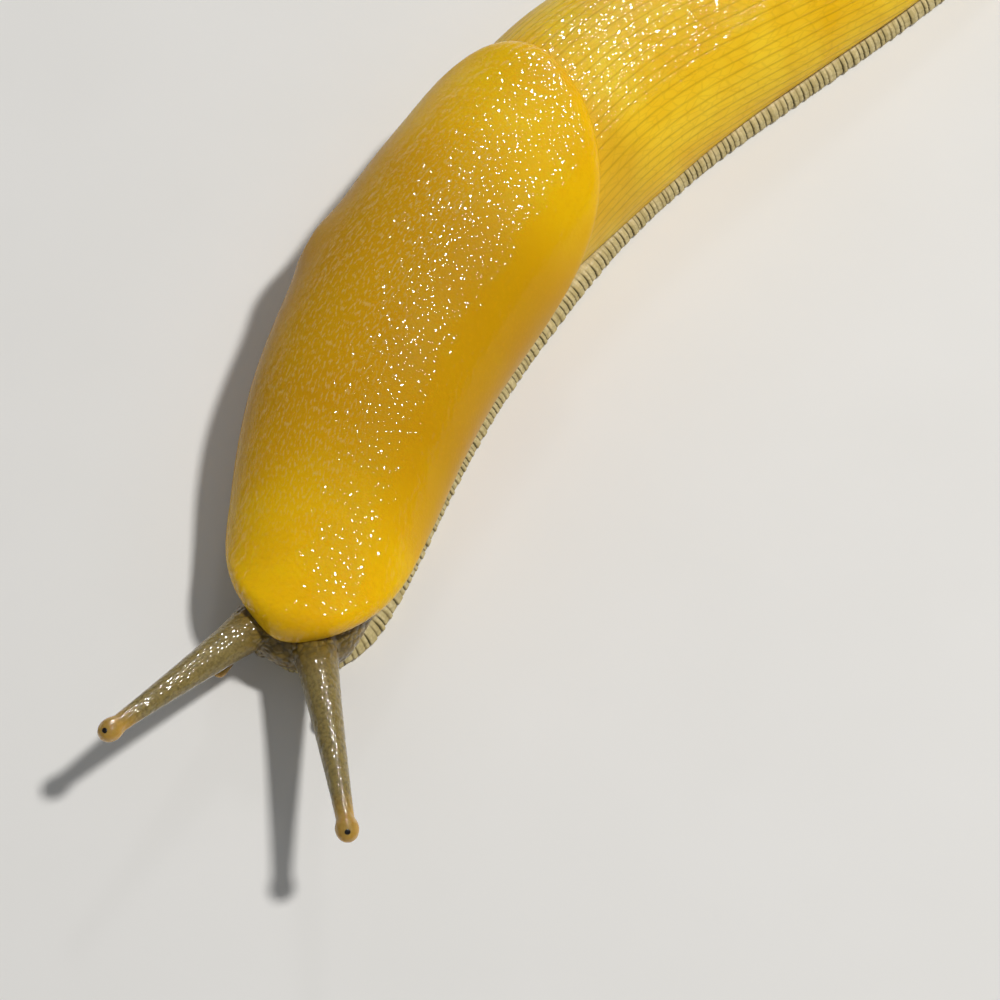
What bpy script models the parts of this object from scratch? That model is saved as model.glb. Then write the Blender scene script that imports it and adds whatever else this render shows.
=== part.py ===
"""A banana slug at life size, crawling with its head raised from the floor and its tentacles out.

The slug is a row of unlike sections set along a line that bends over the floor.  Every piece
is placed on that line: s runs from the snout to the tip of the tail, v runs round the body
from the ridge of the back (0) to the groove above the foot (1), and x is positive on the
animal's left.  Sizes are in millimetres and are turned to metres as each mesh is made.
"""

import math

import bmesh
import bpy
import numpy as np
from mathutils import Matrix, Vector

MM = 0.001
GAP = 0.3

# The line of the body on the floor.  Angles are from +Y towards +X, looking tailwards.
BODY_LENGTH = 179.0
SNOUT_X = 3.35
SNOUT_Y = -77.4
HEADING_AT_SNOUT = -11.5
BENDS = (
    (0.0, 15.0, -12.3),
    (11.0, 59.0, 24.5),
    (61.0, 93.0, 21.0),
    (109.0, 169.0, -20.0),
)

# Half width and ridge height of the body at a few stations from the snout.
HALF_WIDTHS = (
    (0.0, 5.8),
    (5.0, 6.5),
    (15.0, 8.6),
    (27.0, 10.1),
    (42.0, 11.1),
    (59.0, 11.7),
    (77.0, 12.8),
    (97.0, 11.2),
    (119.0, 9.5),
    (142.0, 7.0),
    (162.0, 4.5),
    (179.0, 2.2),
)
RIDGE_HEIGHTS = (
    (0.0, 8.2),
    (5.0, 9.4),
    (15.0, 12.6),
    (27.0, 15.8),
    (42.0, 17.8),
    (59.0, 18.4),
    (77.0, 17.8),
    (97.0, 15.6),
    (119.0, 12.6),
    (142.0, 9.3),
    (162.0, 6.3),
    (179.0, 4.2),
)
SNOUT_ROUND = 5.0
SNOUT_CENTRE_Z = 5.6
TAIL_ROUND = 4.0
TAIL_CENTRE_Z = 3.0
TUCK_POWER = 1.8
TRUNK_ROUNDNESS = 2.15
TAIL_ROUNDNESS = 1.75
KEEL_FROM = 70.0
KEEL_FULL = 135.0

# The flank is slack under the mantle and turns steep and full over this length behind it: the
# height of the widest line as a share of the body's, and how far the flank draws in below it.
SLACK_UNTIL = 50.0
STEEP_FROM = 70.0
WAIST_SHARE = (0.36, 0.14)
TUCK = (1.6, 0.4)

# The foot: a flat sole with a flared, ribbed fringe all round it.
FOOT_TOP = 2.3
FOOT_FRONT = 1.2
FOOT_FRONT_ROUND = 7.5
FOOT_REAR_ROUND = 5.0
FRINGE_FLARES = (
    (0.0, 0.3),
    (22.0, 1.4),
    (50.0, 1.4),
    (77.0, 0.5),
    (97.0, 0.9),
    (119.0, 0.8),
    (179.0, 0.8),
)
FRINGE_PROFILE = ((1.2, 0.0), (0.0, 0.45), (0.25, 1.4), (0.95, FOOT_TOP))
FURROW_SHARE = (0.35, 1.0, 1.0, 0.35)
FURROW_DEPTH = 0.45
RIB_PITCH = 2.6
RIB_VARIATION = 0.12
RIB_SEED = 7

# Grooves that run tailwards at even steps down from the ridge of the back.
GROOVE_PITCH = 4.2
GROOVE_DEPTH = 0.4

# Where the body is parted by thin cuts.
HEAD_END = 8.0
NECK_END = 20.0
TRUNK_MIDDLE = 45.0
TRUNK_END = 74.5
TAIL_MIDDLE = 108.0
TAIL_LAST = 143.0
FOOT_CUTS = (NECK_END, TRUNK_END, TAIL_MIDDLE, TAIL_LAST)

# The slime pore, a pit in the ridge just before the tip of the tail.
SLIME_PORE_FROM_TIP = 4.5
SLIME_PORE_SIZES = (0.7, 0.9, 1.5)

# The mantle, a shield that lies on the back from just behind the tentacles.
MANTLE_CENTRE = 36.8
MANTLE_HALF_LENGTH = 35.2
MANTLE_DOWN_TO = 0.94
MANTLE_SQUARENESS = 2.05
MANTLE_FRONT_SQUARENESS = 2.3
MANTLE_REAR_SKEW = 6.5
MANTLE_FRONT_SKEW = -1.5
MANTLE_THICKNESS = 1.6
MANTLE_EDGE_ROUND = 2.4
HOOD_EXTRA = 1.0
HOOD_LIFT = 0.9
HOOD_LENGTH = 6.0
HOOD_GAP = 0.45
MANTLE_SEGMENTS = 56
MANTLE_OUTER_RINGS = (1.0, 0.988, 0.965, 0.93, 0.88, 0.8, 0.68, 0.53, 0.36, 0.18)
MANTLE_INNER_RINGS = (0.965, 0.91, 0.83, 0.73, 0.61, 0.48, 0.34, 0.18)
MANTLE_CLEARANCE = 0.42

# The breathing hole, low on the animal's right side and past the middle of the mantle.
BREATHING_HOLE_S = 43.0
BREATHING_HOLE_V = 0.63
BREATHING_HOLE_RIM = 3.2
BREATHING_HOLE_RAISE = 0.8
BREATHING_HOLE_FLOOR = 1.4
BREATHING_HOLE_RADIUS = 0.9
BREATHING_HOLE_MOUTH = (4.0, 2.6)

# Tentacles: base on the head, then direction from straight ahead, rise and length.
UPPER_BASE_S = 3.0
UPPER_BASE_X = {"left": 2.65, "right": 4.0}
UPPER_BASE_Z = 6.85
UPPER_BASE_RADIUS = 2.3
UPPER_TIP_RADIUS = 0.9
UPPER_SPREAD = {"left": 34.6, "right": -21.8}
UPPER_LENGTH = {"left": 23.0, "right": 20.2}
UPPER_RISE = 15.0
UPPER_BOW = 1.2
UPPER_PART_AT = 0.46
KNOB_RADIUS = 1.3
KNOB_LONG = 1.25
EYE_RADIUS = 0.33
EYE_SOCKET = 0.12
LOWER_BASE_S = 2.4
LOWER_BASE_X = 4.5
LOWER_BASE_Z = 3.35
LOWER_RADII = (0.85, 0.85, 0.75, 0.6, 0.66, 0.78, 0.76, 0.55, 0.22)
LOWER_SHARES = (-0.3, 0.1, 0.4, 0.66, 0.78, 0.9, 1.0, 1.08, 1.13)
LOWER_SPREAD = {"left": 28.0, "right": -19.0}
LOWER_DROP = -2.0
LOWER_LENGTH = 5.2

# The mouth: a slit low on the snout with a lip at each side.
MOUTH_Z = 4.1
MOUTH_SIZES = (0.5, 1.0, 1.7)
LIP_OUT = 2.7
LIP_SIZE = (1.3, 0.85, 1.0)

TABLE_STEP = 0.25
ROUND_STEPS = 96

COLOURS = {
    "mantle_yellow": (0.82, 0.50, 0.01),
    "body_yellow": (0.76, 0.44, 0.03),
    "head_olive": (0.21, 0.17, 0.08),
    "fringe_grey": (0.40, 0.35, 0.22),
    "knob_amber": (0.62, 0.31, 0.04),
    "eye_black": (0.01, 0.01, 0.01),
}
ROUGHNESS = {"eye_black": 0.12, "fringe_grey": 0.45}
WET_ROUGHNESS = 0.32


def ease(t):
    """0 to 1 with a soft start and end."""
    t = np.clip(t, 0.0, 1.0)
    return t * t * (3.0 - 2.0 * t)


def through(stations, s):
    """A smooth curve through a few (place, size) stations."""
    places, sizes = np.array(stations).T
    slopes = np.gradient(sizes, places)
    i = np.clip(np.searchsorted(places, s) - 1, 0, len(places) - 2)
    span = places[i + 1] - places[i]
    t = np.clip((s - places[i]) / span, 0.0, 1.0)
    rise = ease(t)
    start = slopes[i] * span * t * (1.0 - t) ** 2
    end = slopes[i + 1] * span * t**2 * (1.0 - t)
    return sizes[i] * (1.0 - rise) + sizes[i + 1] * rise + start - end


def round_end(distance, radius):
    """Share of full size at a distance from a rounded end."""
    left = 1.0 - np.clip(distance / radius, 0.0, 1.0)
    return np.sqrt(np.maximum(1.0 - left**2, 0.0))


def heading(s):
    """Direction of the body line at s, in radians."""
    turn = np.full_like(s, HEADING_AT_SNOUT)
    for start, end, degrees in BENDS:
        turn = turn + degrees * ease((s - start) / (end - start))
    return np.radians(turn)


def body_line():
    """Places along the body line, and the x and y of each."""
    s = np.arange(0.0, BODY_LENGTH + TABLE_STEP, TABLE_STEP)
    middle = heading(s[:-1] + TABLE_STEP / 2.0)
    x = SNOUT_X + np.concatenate([[0.0], np.cumsum(np.sin(middle)) * TABLE_STEP])
    y = SNOUT_Y + np.concatenate([[0.0], np.cumsum(np.cos(middle)) * TABLE_STEP])
    return s, x, y


LINE_S, LINE_X, LINE_Y = body_line()


def world(s, x, z):
    """The point x to the animal's left of the body line at s and z above the floor."""
    s, x, z = np.broadcast_arrays(np.asarray(s, float), x, z)
    before = np.minimum(s, 0.0)
    turn = heading(np.clip(s, 0.0, BODY_LENGTH))
    east = np.interp(s, LINE_S, LINE_X) + before * np.sin(turn) + x * np.cos(turn)
    north = np.interp(s, LINE_S, LINE_Y) + before * np.cos(turn) - x * np.sin(turn)
    return np.stack([east, north, z], axis=-1)


def half_sections(s):
    """Dense half sections at each s, ridge first and groove last: x and z."""
    snout = round_end(s, SNOUT_ROUND)
    tail = round_end(BODY_LENGTH - s, TAIL_ROUND)
    keel = ease((s - KEEL_FROM) / (KEEL_FULL - KEEL_FROM))
    power = 2.0 / (TRUNK_ROUNDNESS + (TAIL_ROUNDNESS - TRUNK_ROUNDNESS) * keel)
    half = through(HALF_WIDTHS, s) * snout * tail
    floor = FOOT_TOP + GAP
    low = floor + (SNOUT_CENTRE_Z - floor) * (1.0 - snout)
    top = through(RIDGE_HEIGHTS, s)
    top = SNOUT_CENTRE_Z + (top - SNOUT_CENTRE_Z) * snout
    top = TAIL_CENTRE_Z + (top - TAIL_CENTRE_Z) * tail
    steep = ease((s - SLACK_UNTIL) / (STEEP_FROM - SLACK_UNTIL))
    waist = low + (top - low) * (WAIST_SHARE[0] + (WAIST_SHARE[1] - WAIST_SHARE[0]) * steep)
    tuck = np.minimum(TUCK[0] + (TUCK[1] - TUCK[0]) * steep, 0.3 * half)
    t = np.linspace(0.0, 1.0, ROUND_STEPS)
    angle = (1.0 - t) * math.pi / 2.0
    power = power[:, None]
    above_x = half[:, None] * np.cos(angle) ** power
    above_z = waist[:, None] + (top - waist)[:, None] * np.sin(angle) ** power
    down = t[1:]
    below_x = half[:, None] - tuck[:, None] * down**TUCK_POWER
    below_z = waist[:, None] - (waist - low)[:, None] * down
    return np.hstack([above_x, below_x]), np.hstack([above_z, below_z])


def surface_tables():
    """x, z, the outward direction and the girth of the body, in even steps of s and v."""
    v = np.linspace(0.0, 1.0, ROUND_STEPS)
    sections = np.stack(half_sections(LINE_S), axis=-1)
    tables = np.zeros((len(LINE_S), ROUND_STEPS, 4))
    girths = np.zeros(len(LINE_S))
    for i, points in enumerate(sections):
        steps = np.linalg.norm(np.diff(points, axis=0), axis=1)
        along = np.concatenate([[0.0], np.cumsum(steps)])
        girths[i] = along[-1]
        x, z = (np.interp(v * along[-1], along, points[:, k]) for k in (0, 1))
        out = np.stack([-np.gradient(z), np.gradient(x)], axis=-1)
        out /= np.maximum(np.linalg.norm(out, axis=1, keepdims=True), 1e-9)
        out[0] = (0.0, 1.0)
        tables[i] = np.column_stack([x, z, out])
    return tables, girths


SURFACE, GIRTH = surface_tables()


def on_body(s, v, rise=0.0):
    """Points on the body at s and v, where v below zero is the animal's right, raised by rise."""
    s, v, rise = np.broadcast_arrays(np.asarray(s, float), v, rise)
    row = np.clip(s / TABLE_STEP, 0.0, len(LINE_S) - 1.001)
    column = np.clip(np.abs(v) * (ROUND_STEPS - 1), 0.0, ROUND_STEPS - 1.001)
    i, j = row.astype(int), column.astype(int)
    a, b = (row - i)[..., None], (column - j)[..., None]
    near = SURFACE[i, j] * (1 - b) + SURFACE[i, j + 1] * b
    far = SURFACE[i + 1, j] * (1 - b) + SURFACE[i + 1, j + 1] * b
    x, z, out_x, out_z = np.moveaxis(near * (1 - a) + far * a, -1, 0)
    side = np.where(v < 0.0, -1.0, 1.0)
    return world(s, side * (x + out_x * rise), z + out_z * rise)


def material(name):
    """One plain finish for each kind of surface."""
    made = bpy.data.materials.get(name)
    if made is None:
        made = bpy.data.materials.new(name)
        made.use_nodes = True
        shader = made.node_tree.nodes["Principled BSDF"]
        shader.inputs["Base Color"].default_value = (*COLOURS[name], 1.0)
        shader.inputs["Roughness"].default_value = ROUGHNESS.get(name, WET_ROUGHNESS)
        shader.inputs["Metallic"].default_value = 0.0
        made.diffuse_color = (*COLOURS[name], 1.0)
    return made


def collection(name):
    made = bpy.data.collections.get(name)
    if made is None:
        made = bpy.data.collections.new(name)
        bpy.context.scene.collection.children.link(made)
    return made


def face_outwards(mesh):
    shape = bmesh.new()
    shape.from_mesh(mesh)
    bmesh.ops.recalc_face_normals(shape, faces=shape.faces)
    shape.to_mesh(mesh)
    shape.free()


def finish(name, mesh, finish_name):
    """A mesh made into a named part of the slug."""
    face_outwards(mesh)
    mesh.shade_smooth()
    mesh.set_sharp_from_angle(angle=math.radians(50.0))
    mesh.materials.clear()
    mesh.materials.append(material(finish_name))
    part = bpy.data.objects.new(name, mesh)
    collection("banana_slug").objects.link(part)
    return part


def cutter(name, mesh):
    """A mesh that only cuts others."""
    face_outwards(mesh)
    part = bpy.data.objects.new(name, mesh)
    collection("cutters").objects.link(part)
    part.hide_render = True
    part.display_type = "WIRE"
    return part


def cut(part, tool):
    """Takes the tool's shape out of the part."""
    modifier = part.modifiers.new("cut_" + tool.name, "BOOLEAN")
    modifier.operation = "DIFFERENCE"
    modifier.solver = "EXACT"
    modifier.object = tool


def loft_mesh(name, rings):
    """A closed skin over rings of points in millimetres, with a cap at each end."""
    count, around = len(rings), len(rings[0])
    faces = []
    for i in range(count - 1):
        for j in range(around):
            k = (j + 1) % around
            here, ahead = i * around, (i + 1) * around
            faces.append((here + j, here + k, ahead + k, ahead + j))
    faces.append(tuple(reversed(range(around))))
    faces.append(tuple(range((count - 1) * around, count * around)))
    mesh = bpy.data.meshes.new(name)
    mesh.from_pydata([tuple(p * MM) for ring in rings for p in ring], [], faces)
    return mesh


def groove_depth(s, v):
    """How deep the lengthwise grooves cut at s and v, none where the mantle covers them."""
    girth = np.interp(s, LINE_S, GIRTH)
    down = np.abs(v) * girth
    wave = 0.5 - 0.5 * np.cos(2.0 * math.pi * down / GROOVE_PITCH)
    edge = np.abs(s - MANTLE_CENTRE) / (MANTLE_HALF_LENGTH + 1.5)
    round_it = edge**MANTLE_SQUARENESS + (np.abs(v) / MANTLE_DOWN_TO) ** MANTLE_SQUARENESS
    bare = ease((round_it - 1.0) / 0.25)
    behind_head = ease((s - NECK_END) / 20.0)
    thin_tail = ease((BODY_LENGTH - s) / 25.0)
    return GROOVE_DEPTH * (1.0 - wave) * bare * behind_head * thin_tail


def body_rings(stations, half_points, grow=0.0):
    """Closed rings of the upper body at each station, flat underneath."""
    v = np.linspace(0.0, 1.0, half_points)
    round_v = np.concatenate([v, -v[:0:-1]])
    s = np.asarray(stations)[:, None]
    depth = groove_depth(s, round_v[None, :])
    edge = np.abs(round_v) > 0.999
    depth = np.where(edge[None, :], 0.0, depth)
    return on_body(s, round_v[None, :], grow - depth)


def body_length(name, start, end, step, half_points, finish_name):
    """One length of the upper body between two thin cuts."""
    count = max(3, round((end - start) / step) + 1)
    stations = np.linspace(start, end, count)
    return finish(name, loft_mesh(name, body_rings(stations, half_points)), finish_name)


def rounded_stations(start, end, count, tight_start=False, tight_end=False):
    """Stations that crowd towards a rounded end."""
    t = np.linspace(0.0, 1.0, count)
    if tight_start:
        t = 1.0 - np.cos(t * math.pi / 2.0)
    if tight_end:
        t = np.sin(t * math.pi / 2.0)
    return start + (end - start) * t


def make_body():
    """Head, neck, trunk and tail, from the snout back."""
    near = GAP / 2.0
    snout = rounded_stations(0.06, HEAD_END - near, 11, tight_start=True)
    head = finish("head", loft_mesh("head", body_rings(snout, 15)), "head_olive")
    body_length("neck", HEAD_END + near, NECK_END - near, 3.0, 15, "head_olive")
    body_length("trunk_front", NECK_END + near, TRUNK_MIDDLE - near, 4.5, 23, "body_yellow")
    body_length("trunk_rear", TRUNK_MIDDLE + near, TRUNK_END - near, 3.2, 27, "body_yellow")
    body_length("tail_front", TRUNK_END + near, TAIL_MIDDLE - near, 3.6, 27, "body_yellow")
    body_length("tail_middle", TAIL_MIDDLE + near, TAIL_LAST - near, 3.6, 23, "body_yellow")
    tip = rounded_stations(TAIL_LAST + near, BODY_LENGTH - 0.06, 13, tight_end=True)
    tail_tip = finish("tail_tip", loft_mesh("tail_tip", body_rings(tip, 17)), "body_yellow")
    pore_s = BODY_LENGTH - SLIME_PORE_FROM_TIP
    pore_at, ahead_of_it = (Vector(on_body(s, 0.0)) * MM for s in (pore_s, pore_s + 1.0))
    pore = ball_mesh("slime_pore", pore_at, SLIME_PORE_SIZES, ahead_of_it - pore_at, 10, 8)
    cut(tail_tip, cutter("slime_pore", pore))
    return head


def foot_outline():
    """The foot's edge in plan, at even small steps of its own length: place, half width, length."""
    front = rounded_stations(FOOT_FRONT, 40.0, 400, tight_start=True)
    rear = rounded_stations(40.0, BODY_LENGTH + 1.2, 900, tight_end=True)[1:]
    s = np.concatenate([front, rear])
    place = np.clip(s, 0.0, BODY_LENGTH)
    half = through(HALF_WIDTHS, place) + through(FRINGE_FLARES, place)
    half = half * round_end(s - FOOT_FRONT, FOOT_FRONT_ROUND)
    half = half * round_end(BODY_LENGTH + 1.2 - s, FOOT_REAR_ROUND)
    steps = np.hypot(np.diff(s), np.diff(half))
    return s, half, np.concatenate([[0.0], np.cumsum(steps)])


def rib_columns(total):
    """Lengths along the foot's edge with the furrow share there: 1 in a furrow, 0 on a rib."""
    rng = np.random.default_rng(RIB_SEED)
    along, share = [], []
    place = 0.5
    while place < total - 0.5:
        pitch = RIB_PITCH * (1.0 + RIB_VARIATION * rng.uniform(-1.0, 1.0))
        for part, depth in ((0.0, 1.0), (0.2, 0.0), (0.8, 0.0)):
            along.append(place + part * pitch)
            share.append(depth)
        place += pitch
    along, share = np.array(along), np.array(share)
    inside = along < total - 0.4
    return along[inside], share[inside]


def foot_rings(along, share, outline):
    """Closed rings across the foot at lengths along its edge."""
    s, half, length = outline
    place, reach = np.interp(along, length, s), np.interp(along, length, half)
    turn_s = np.interp(along, length, np.gradient(s, length))
    turn_x = np.interp(along, length, np.gradient(half, length))
    rings = []
    for side in (1.0, -1.0):
        for (inward, z), deep in zip(FRINGE_PROFILE, FURROW_SHARE):
            inset = np.minimum(inward + FURROW_DEPTH * share * deep, 0.8 * reach + 0.05)
            at_s = place + turn_x * inset
            at_x = np.maximum(reach - turn_s * inset, 0.02)
            rings.append(world(at_s, side * at_x, z))
    left, right = rings[:4], rings[4:]
    return np.stack(left + right[::-1], axis=1)


def make_foot():
    """The sole with its ribbed fringe, in lengths."""
    outline = foot_outline()
    s, _, length = outline
    along, share = rib_columns(length[-1])
    cuts = (s[0], *FOOT_CUTS, s[-1])
    names = ("foot_front", "foot_middle", "foot_rear", "foot_tail", "foot_tip")
    for name, start, end in zip(names, cuts[:-1], cuts[1:]):
        low = np.interp(start + GAP / 2.0, s, length)
        high = np.interp(end - GAP / 2.0, s, length)
        inside = (along > low + 0.3) & (along < high - 0.3)
        ends = [] if start == s[0] else [low]
        more = [] if end == s[-1] else [high]
        columns = np.concatenate([ends, along[inside], more])
        depths = np.concatenate([[0.0] * len(ends), share[inside], [0.0] * len(more)])
        rings = foot_rings(columns, depths, outline)
        finish(name, loft_mesh(name, rings), "fringe_grey")


def mantle_place(ring, around):
    """s, v and the distance inside the mantle's edge for a ring share and a direction."""
    c, d = np.cos(around), np.sin(around)
    power = 2.0 / np.where(c < 0.0, MANTLE_FRONT_SQUARENESS, MANTLE_SQUARENESS)
    reach_s = MANTLE_HALF_LENGTH * np.sign(c) * np.abs(c) ** power
    reach_v = MANTLE_DOWN_TO * np.sign(d) * np.abs(d) ** power
    skew = MANTLE_REAR_SKEW * np.maximum(c, 0.0) + MANTLE_FRONT_SKEW * np.maximum(-c, 0.0)
    s = MANTLE_CENTRE + ring * (reach_s - skew * reach_v)
    girth = np.interp(MANTLE_CENTRE, LINE_S, GIRTH)
    inside = (1.0 - ring) * np.hypot(reach_s, reach_v * girth)
    return s, ring * reach_v, inside


def hood(s):
    """1 at the front edge of the mantle, falling to 0 over the hood."""
    return 1.0 - ease((s - (MANTLE_CENTRE - MANTLE_HALF_LENGTH)) / HOOD_LENGTH)


def mantle_rises(s, v, inside):
    """Height of the mantle's under and upper faces above the body."""
    lift = HOOD_LIFT * hood(s) * np.exp(-inside / 3.0)
    under = MANTLE_CLEARANCE + lift
    edge = round_end(inside, MANTLE_EDGE_ROUND)
    thick = (MANTLE_THICKNESS + HOOD_EXTRA * hood(s)) * edge
    girth = np.interp(s, LINE_S, GIRTH)
    away = np.hypot(s - BREATHING_HOLE_S, (v + BREATHING_HOLE_V) * girth)
    rim = BREATHING_HOLE_RAISE * np.exp(-((away / BREATHING_HOLE_RIM) ** 2))
    return under, under + thick + rim


def mantle_mesh(name, grow=0.0):
    """An upper and an under face that meet round the edge, each moved out by grow."""
    around = np.arange(MANTLE_SEGMENTS) * 2.0 * math.pi / MANTLE_SEGMENTS
    wider = 1.0 + grow / (0.6 * MANTLE_HALF_LENGTH)
    faces = ((0, -grow, MANTLE_INNER_RINGS[::-1]), (1, grow, MANTLE_OUTER_RINGS))
    rings = []
    for face, move, sizes in faces:
        for size in sizes:
            s, v, inside = mantle_place(size * wider, around)
            rings.append(on_body(s, v, mantle_rises(s, v, inside)[face] + move))
    middle = np.array([MANTLE_CENTRE])
    under, upper = mantle_rises(middle, middle * 0.0, np.array([MANTLE_HALF_LENGTH]))
    poles = [on_body(middle, 0.0, under - grow), on_body(middle, 0.0, upper + grow)]
    mesh = bpy.data.meshes.new(name)
    n = MANTLE_SEGMENTS
    points = [p for ring in rings for p in ring] + [poles[0][0], poles[1][0]]
    faces = []
    for i in range(len(rings) - 1):
        for j in range(n):
            k = (j + 1) % n
            faces.append((i * n + j, i * n + k, (i + 1) * n + k, (i + 1) * n + j))
    last = (len(rings) - 1) * n
    for j in range(n):
        k = (j + 1) % n
        faces.append((len(points) - 2, k, j))
        faces.append((len(points) - 1, last + j, last + k))
    mesh.from_pydata([tuple(p * MM) for p in points], [], faces)
    return mesh


def make_mantle():
    """The shield with its breathing hole."""
    mantle = finish("mantle", mantle_mesh("mantle"), "mantle_yellow")
    depth, width = BREATHING_HOLE_MOUTH
    floor, mouth = (
        Vector(on_body(BREATHING_HOLE_S, -BREATHING_HOLE_V, rise)) * MM
        for rise in (BREATHING_HOLE_FLOOR, BREATHING_HOLE_FLOOR + depth)
    )
    tool = cone_mesh("breathing_hole", floor, mouth, BREATHING_HOLE_RADIUS, width, 14)
    cut(mantle, cutter("breathing_hole", tool))


def cone_mesh(name, start, end, start_radius, end_radius, sides):
    """A closed cone from start to end, radii in millimetres."""
    shape = bmesh.new()
    along = end - start
    turn = along.to_track_quat("Z", "Y").to_matrix().to_4x4()
    bmesh.ops.create_cone(
        shape,
        cap_ends=True,
        segments=sides,
        radius1=start_radius * MM,
        radius2=end_radius * MM,
        depth=along.length,
        matrix=Matrix.Translation((start + end) / 2.0) @ turn,
    )
    mesh = bpy.data.meshes.new(name)
    shape.to_mesh(mesh)
    shape.free()
    return mesh


def ball_mesh(name, centre, sizes, along=None, sides=14, rows=9):
    """A closed ball with three radii in millimetres, the last one along a direction."""
    shape = bmesh.new()
    turn = Matrix.Identity(4)
    if along is not None:
        turn = along.to_track_quat("Z", "Y").to_matrix().to_4x4()
    scale = Matrix.Diagonal((*(size * MM for size in sizes), 1.0))
    bmesh.ops.create_uvsphere(
        shape,
        u_segments=sides,
        v_segments=rows,
        radius=1.0,
        matrix=Matrix.Translation(centre) @ turn @ scale,
    )
    mesh = bpy.data.meshes.new(name)
    shape.to_mesh(mesh)
    shape.free()
    return mesh


def tube_mesh(name, points, radii, sides_step=5):
    """A tapering tube with closed ends through points in metres, radii in millimetres."""
    curve = bpy.data.curves.new(name, "CURVE")
    curve.dimensions = "3D"
    curve.bevel_depth = MM
    curve.bevel_resolution = sides_step
    curve.use_fill_caps = True
    spline = curve.splines.new("POLY")
    spline.points.add(len(points) - 1)
    for target, point, radius in zip(spline.points, points, radii):
        target.co = (*point, 1.0)
        target.radius = radius
    guide = bpy.data.objects.new(name + "_guide", curve)
    bpy.context.scene.collection.objects.link(guide)
    graph = bpy.context.evaluated_depsgraph_get()
    mesh = bpy.data.meshes.new_from_object(guide.evaluated_get(graph))
    bpy.data.objects.remove(guide)
    shape = bmesh.new()
    shape.from_mesh(mesh)
    bmesh.ops.remove_doubles(shape, verts=shape.verts, dist=1e-6)
    shape.to_mesh(mesh)
    shape.free()
    return mesh


def ahead(spread, rise):
    """A unit direction from the snout: spread is towards the animal's left, rise is upwards."""
    turn = float(heading(np.array(0.0))) + math.pi - math.radians(spread)
    flat = math.cos(math.radians(rise))
    return Vector((math.sin(turn) * flat, math.cos(turn) * flat, math.sin(math.radians(rise))))


def tentacle_axis(base, direction, length, bow):
    """Points along a tentacle that starts at base and bows upwards, by share of its length."""

    def at(share):
        lift = Vector((0.0, 0.0, bow * MM * math.sin(math.pi * share * 0.5) * share))
        return base + direction * (length * MM * share) + lift

    return at


def make_upper_tentacle(side, head_room, mantle_room):
    """Two lengths of stalk, the knob at the tip, and the eye set in the knob."""
    sign = 1.0 if side == "left" else -1.0
    base = Vector(world(UPPER_BASE_S, sign * UPPER_BASE_X[side], UPPER_BASE_Z)) * MM
    length = UPPER_LENGTH[side]
    at = tentacle_axis(base, ahead(UPPER_SPREAD[side], UPPER_RISE), length, UPPER_BOW)
    slit = GAP / 2.0 / length
    spans = (("root", -0.06, UPPER_PART_AT - slit), ("shaft", UPPER_PART_AT + slit, 0.93))
    for part, start, end in spans:
        shares = np.linspace(start, end, 7)
        radii = [stalk_radius(share) for share in shares]
        name = f"upper_tentacle_{side}_{part}"
        mesh = tube_mesh(name, [at(share) for share in shares], radii)
        stalk = finish(name, mesh, "head_olive")
        if part == "root":
            cut(stalk, head_room)
            cut(stalk, mantle_room)
    tip, before = at(1.0), at(0.9)
    along = (tip - before).normalized()
    knob_mesh = ball_mesh(
        f"eye_knob_{side}",
        tip,
        (KNOB_RADIUS, KNOB_RADIUS, KNOB_RADIUS * KNOB_LONG),
        along,
        sides=16,
        rows=12,
    )
    shape = bmesh.new()
    shape.from_mesh(knob_mesh)
    flat = bmesh.ops.bisect_plane(
        shape,
        geom=shape.verts[:] + shape.edges[:] + shape.faces[:],
        plane_co=at(0.93) + along * GAP * MM,
        plane_no=along,
        clear_inner=True,
    )
    edges = [e for e in flat["geom_cut"] if isinstance(e, bmesh.types.BMEdge)]
    bmesh.ops.edgenet_fill(shape, edges=edges)
    shape.to_mesh(knob_mesh)
    shape.free()
    knob = finish(f"eye_knob_{side}", knob_mesh, "knob_amber")
    up = Vector((0.0, 0.0, 1.0))
    look = (along * 0.75 + up).normalized()
    eye_at = tip + look * KNOB_RADIUS * MM
    size = EYE_RADIUS
    finish(f"eye_{side}", ball_mesh(f"eye_{side}", eye_at, (size,) * 3, None, 10, 7), "eye_black")
    room = EYE_RADIUS + EYE_SOCKET
    socket = ball_mesh(f"socket_{side}", eye_at, (room,) * 3, None, 12, 8)
    cut(knob, cutter(f"socket_{side}", socket))


def stalk_radius(share):
    """The stalk swells at its root and narrows evenly to the knob."""
    root = 0.35 * math.exp(-share / 0.12)
    return UPPER_TIP_RADIUS + (UPPER_BASE_RADIUS - UPPER_TIP_RADIUS) * (1.0 - share) ** 1.15 + root


def make_lower_tentacle(side, head_room):
    """A short feeler beside the mouth, with a small round tip fused on."""
    sign = 1.0 if side == "left" else -1.0
    base = Vector(world(LOWER_BASE_S, sign * LOWER_BASE_X, LOWER_BASE_Z)) * MM
    at = tentacle_axis(base, ahead(LOWER_SPREAD[side], LOWER_DROP), LOWER_LENGTH, 0.0)
    name = f"lower_tentacle_{side}"
    mesh = tube_mesh(name, [at(share) for share in LOWER_SHARES], LOWER_RADII, 3)
    feeler = finish(name, mesh, "head_olive")
    cut(feeler, head_room)


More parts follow.
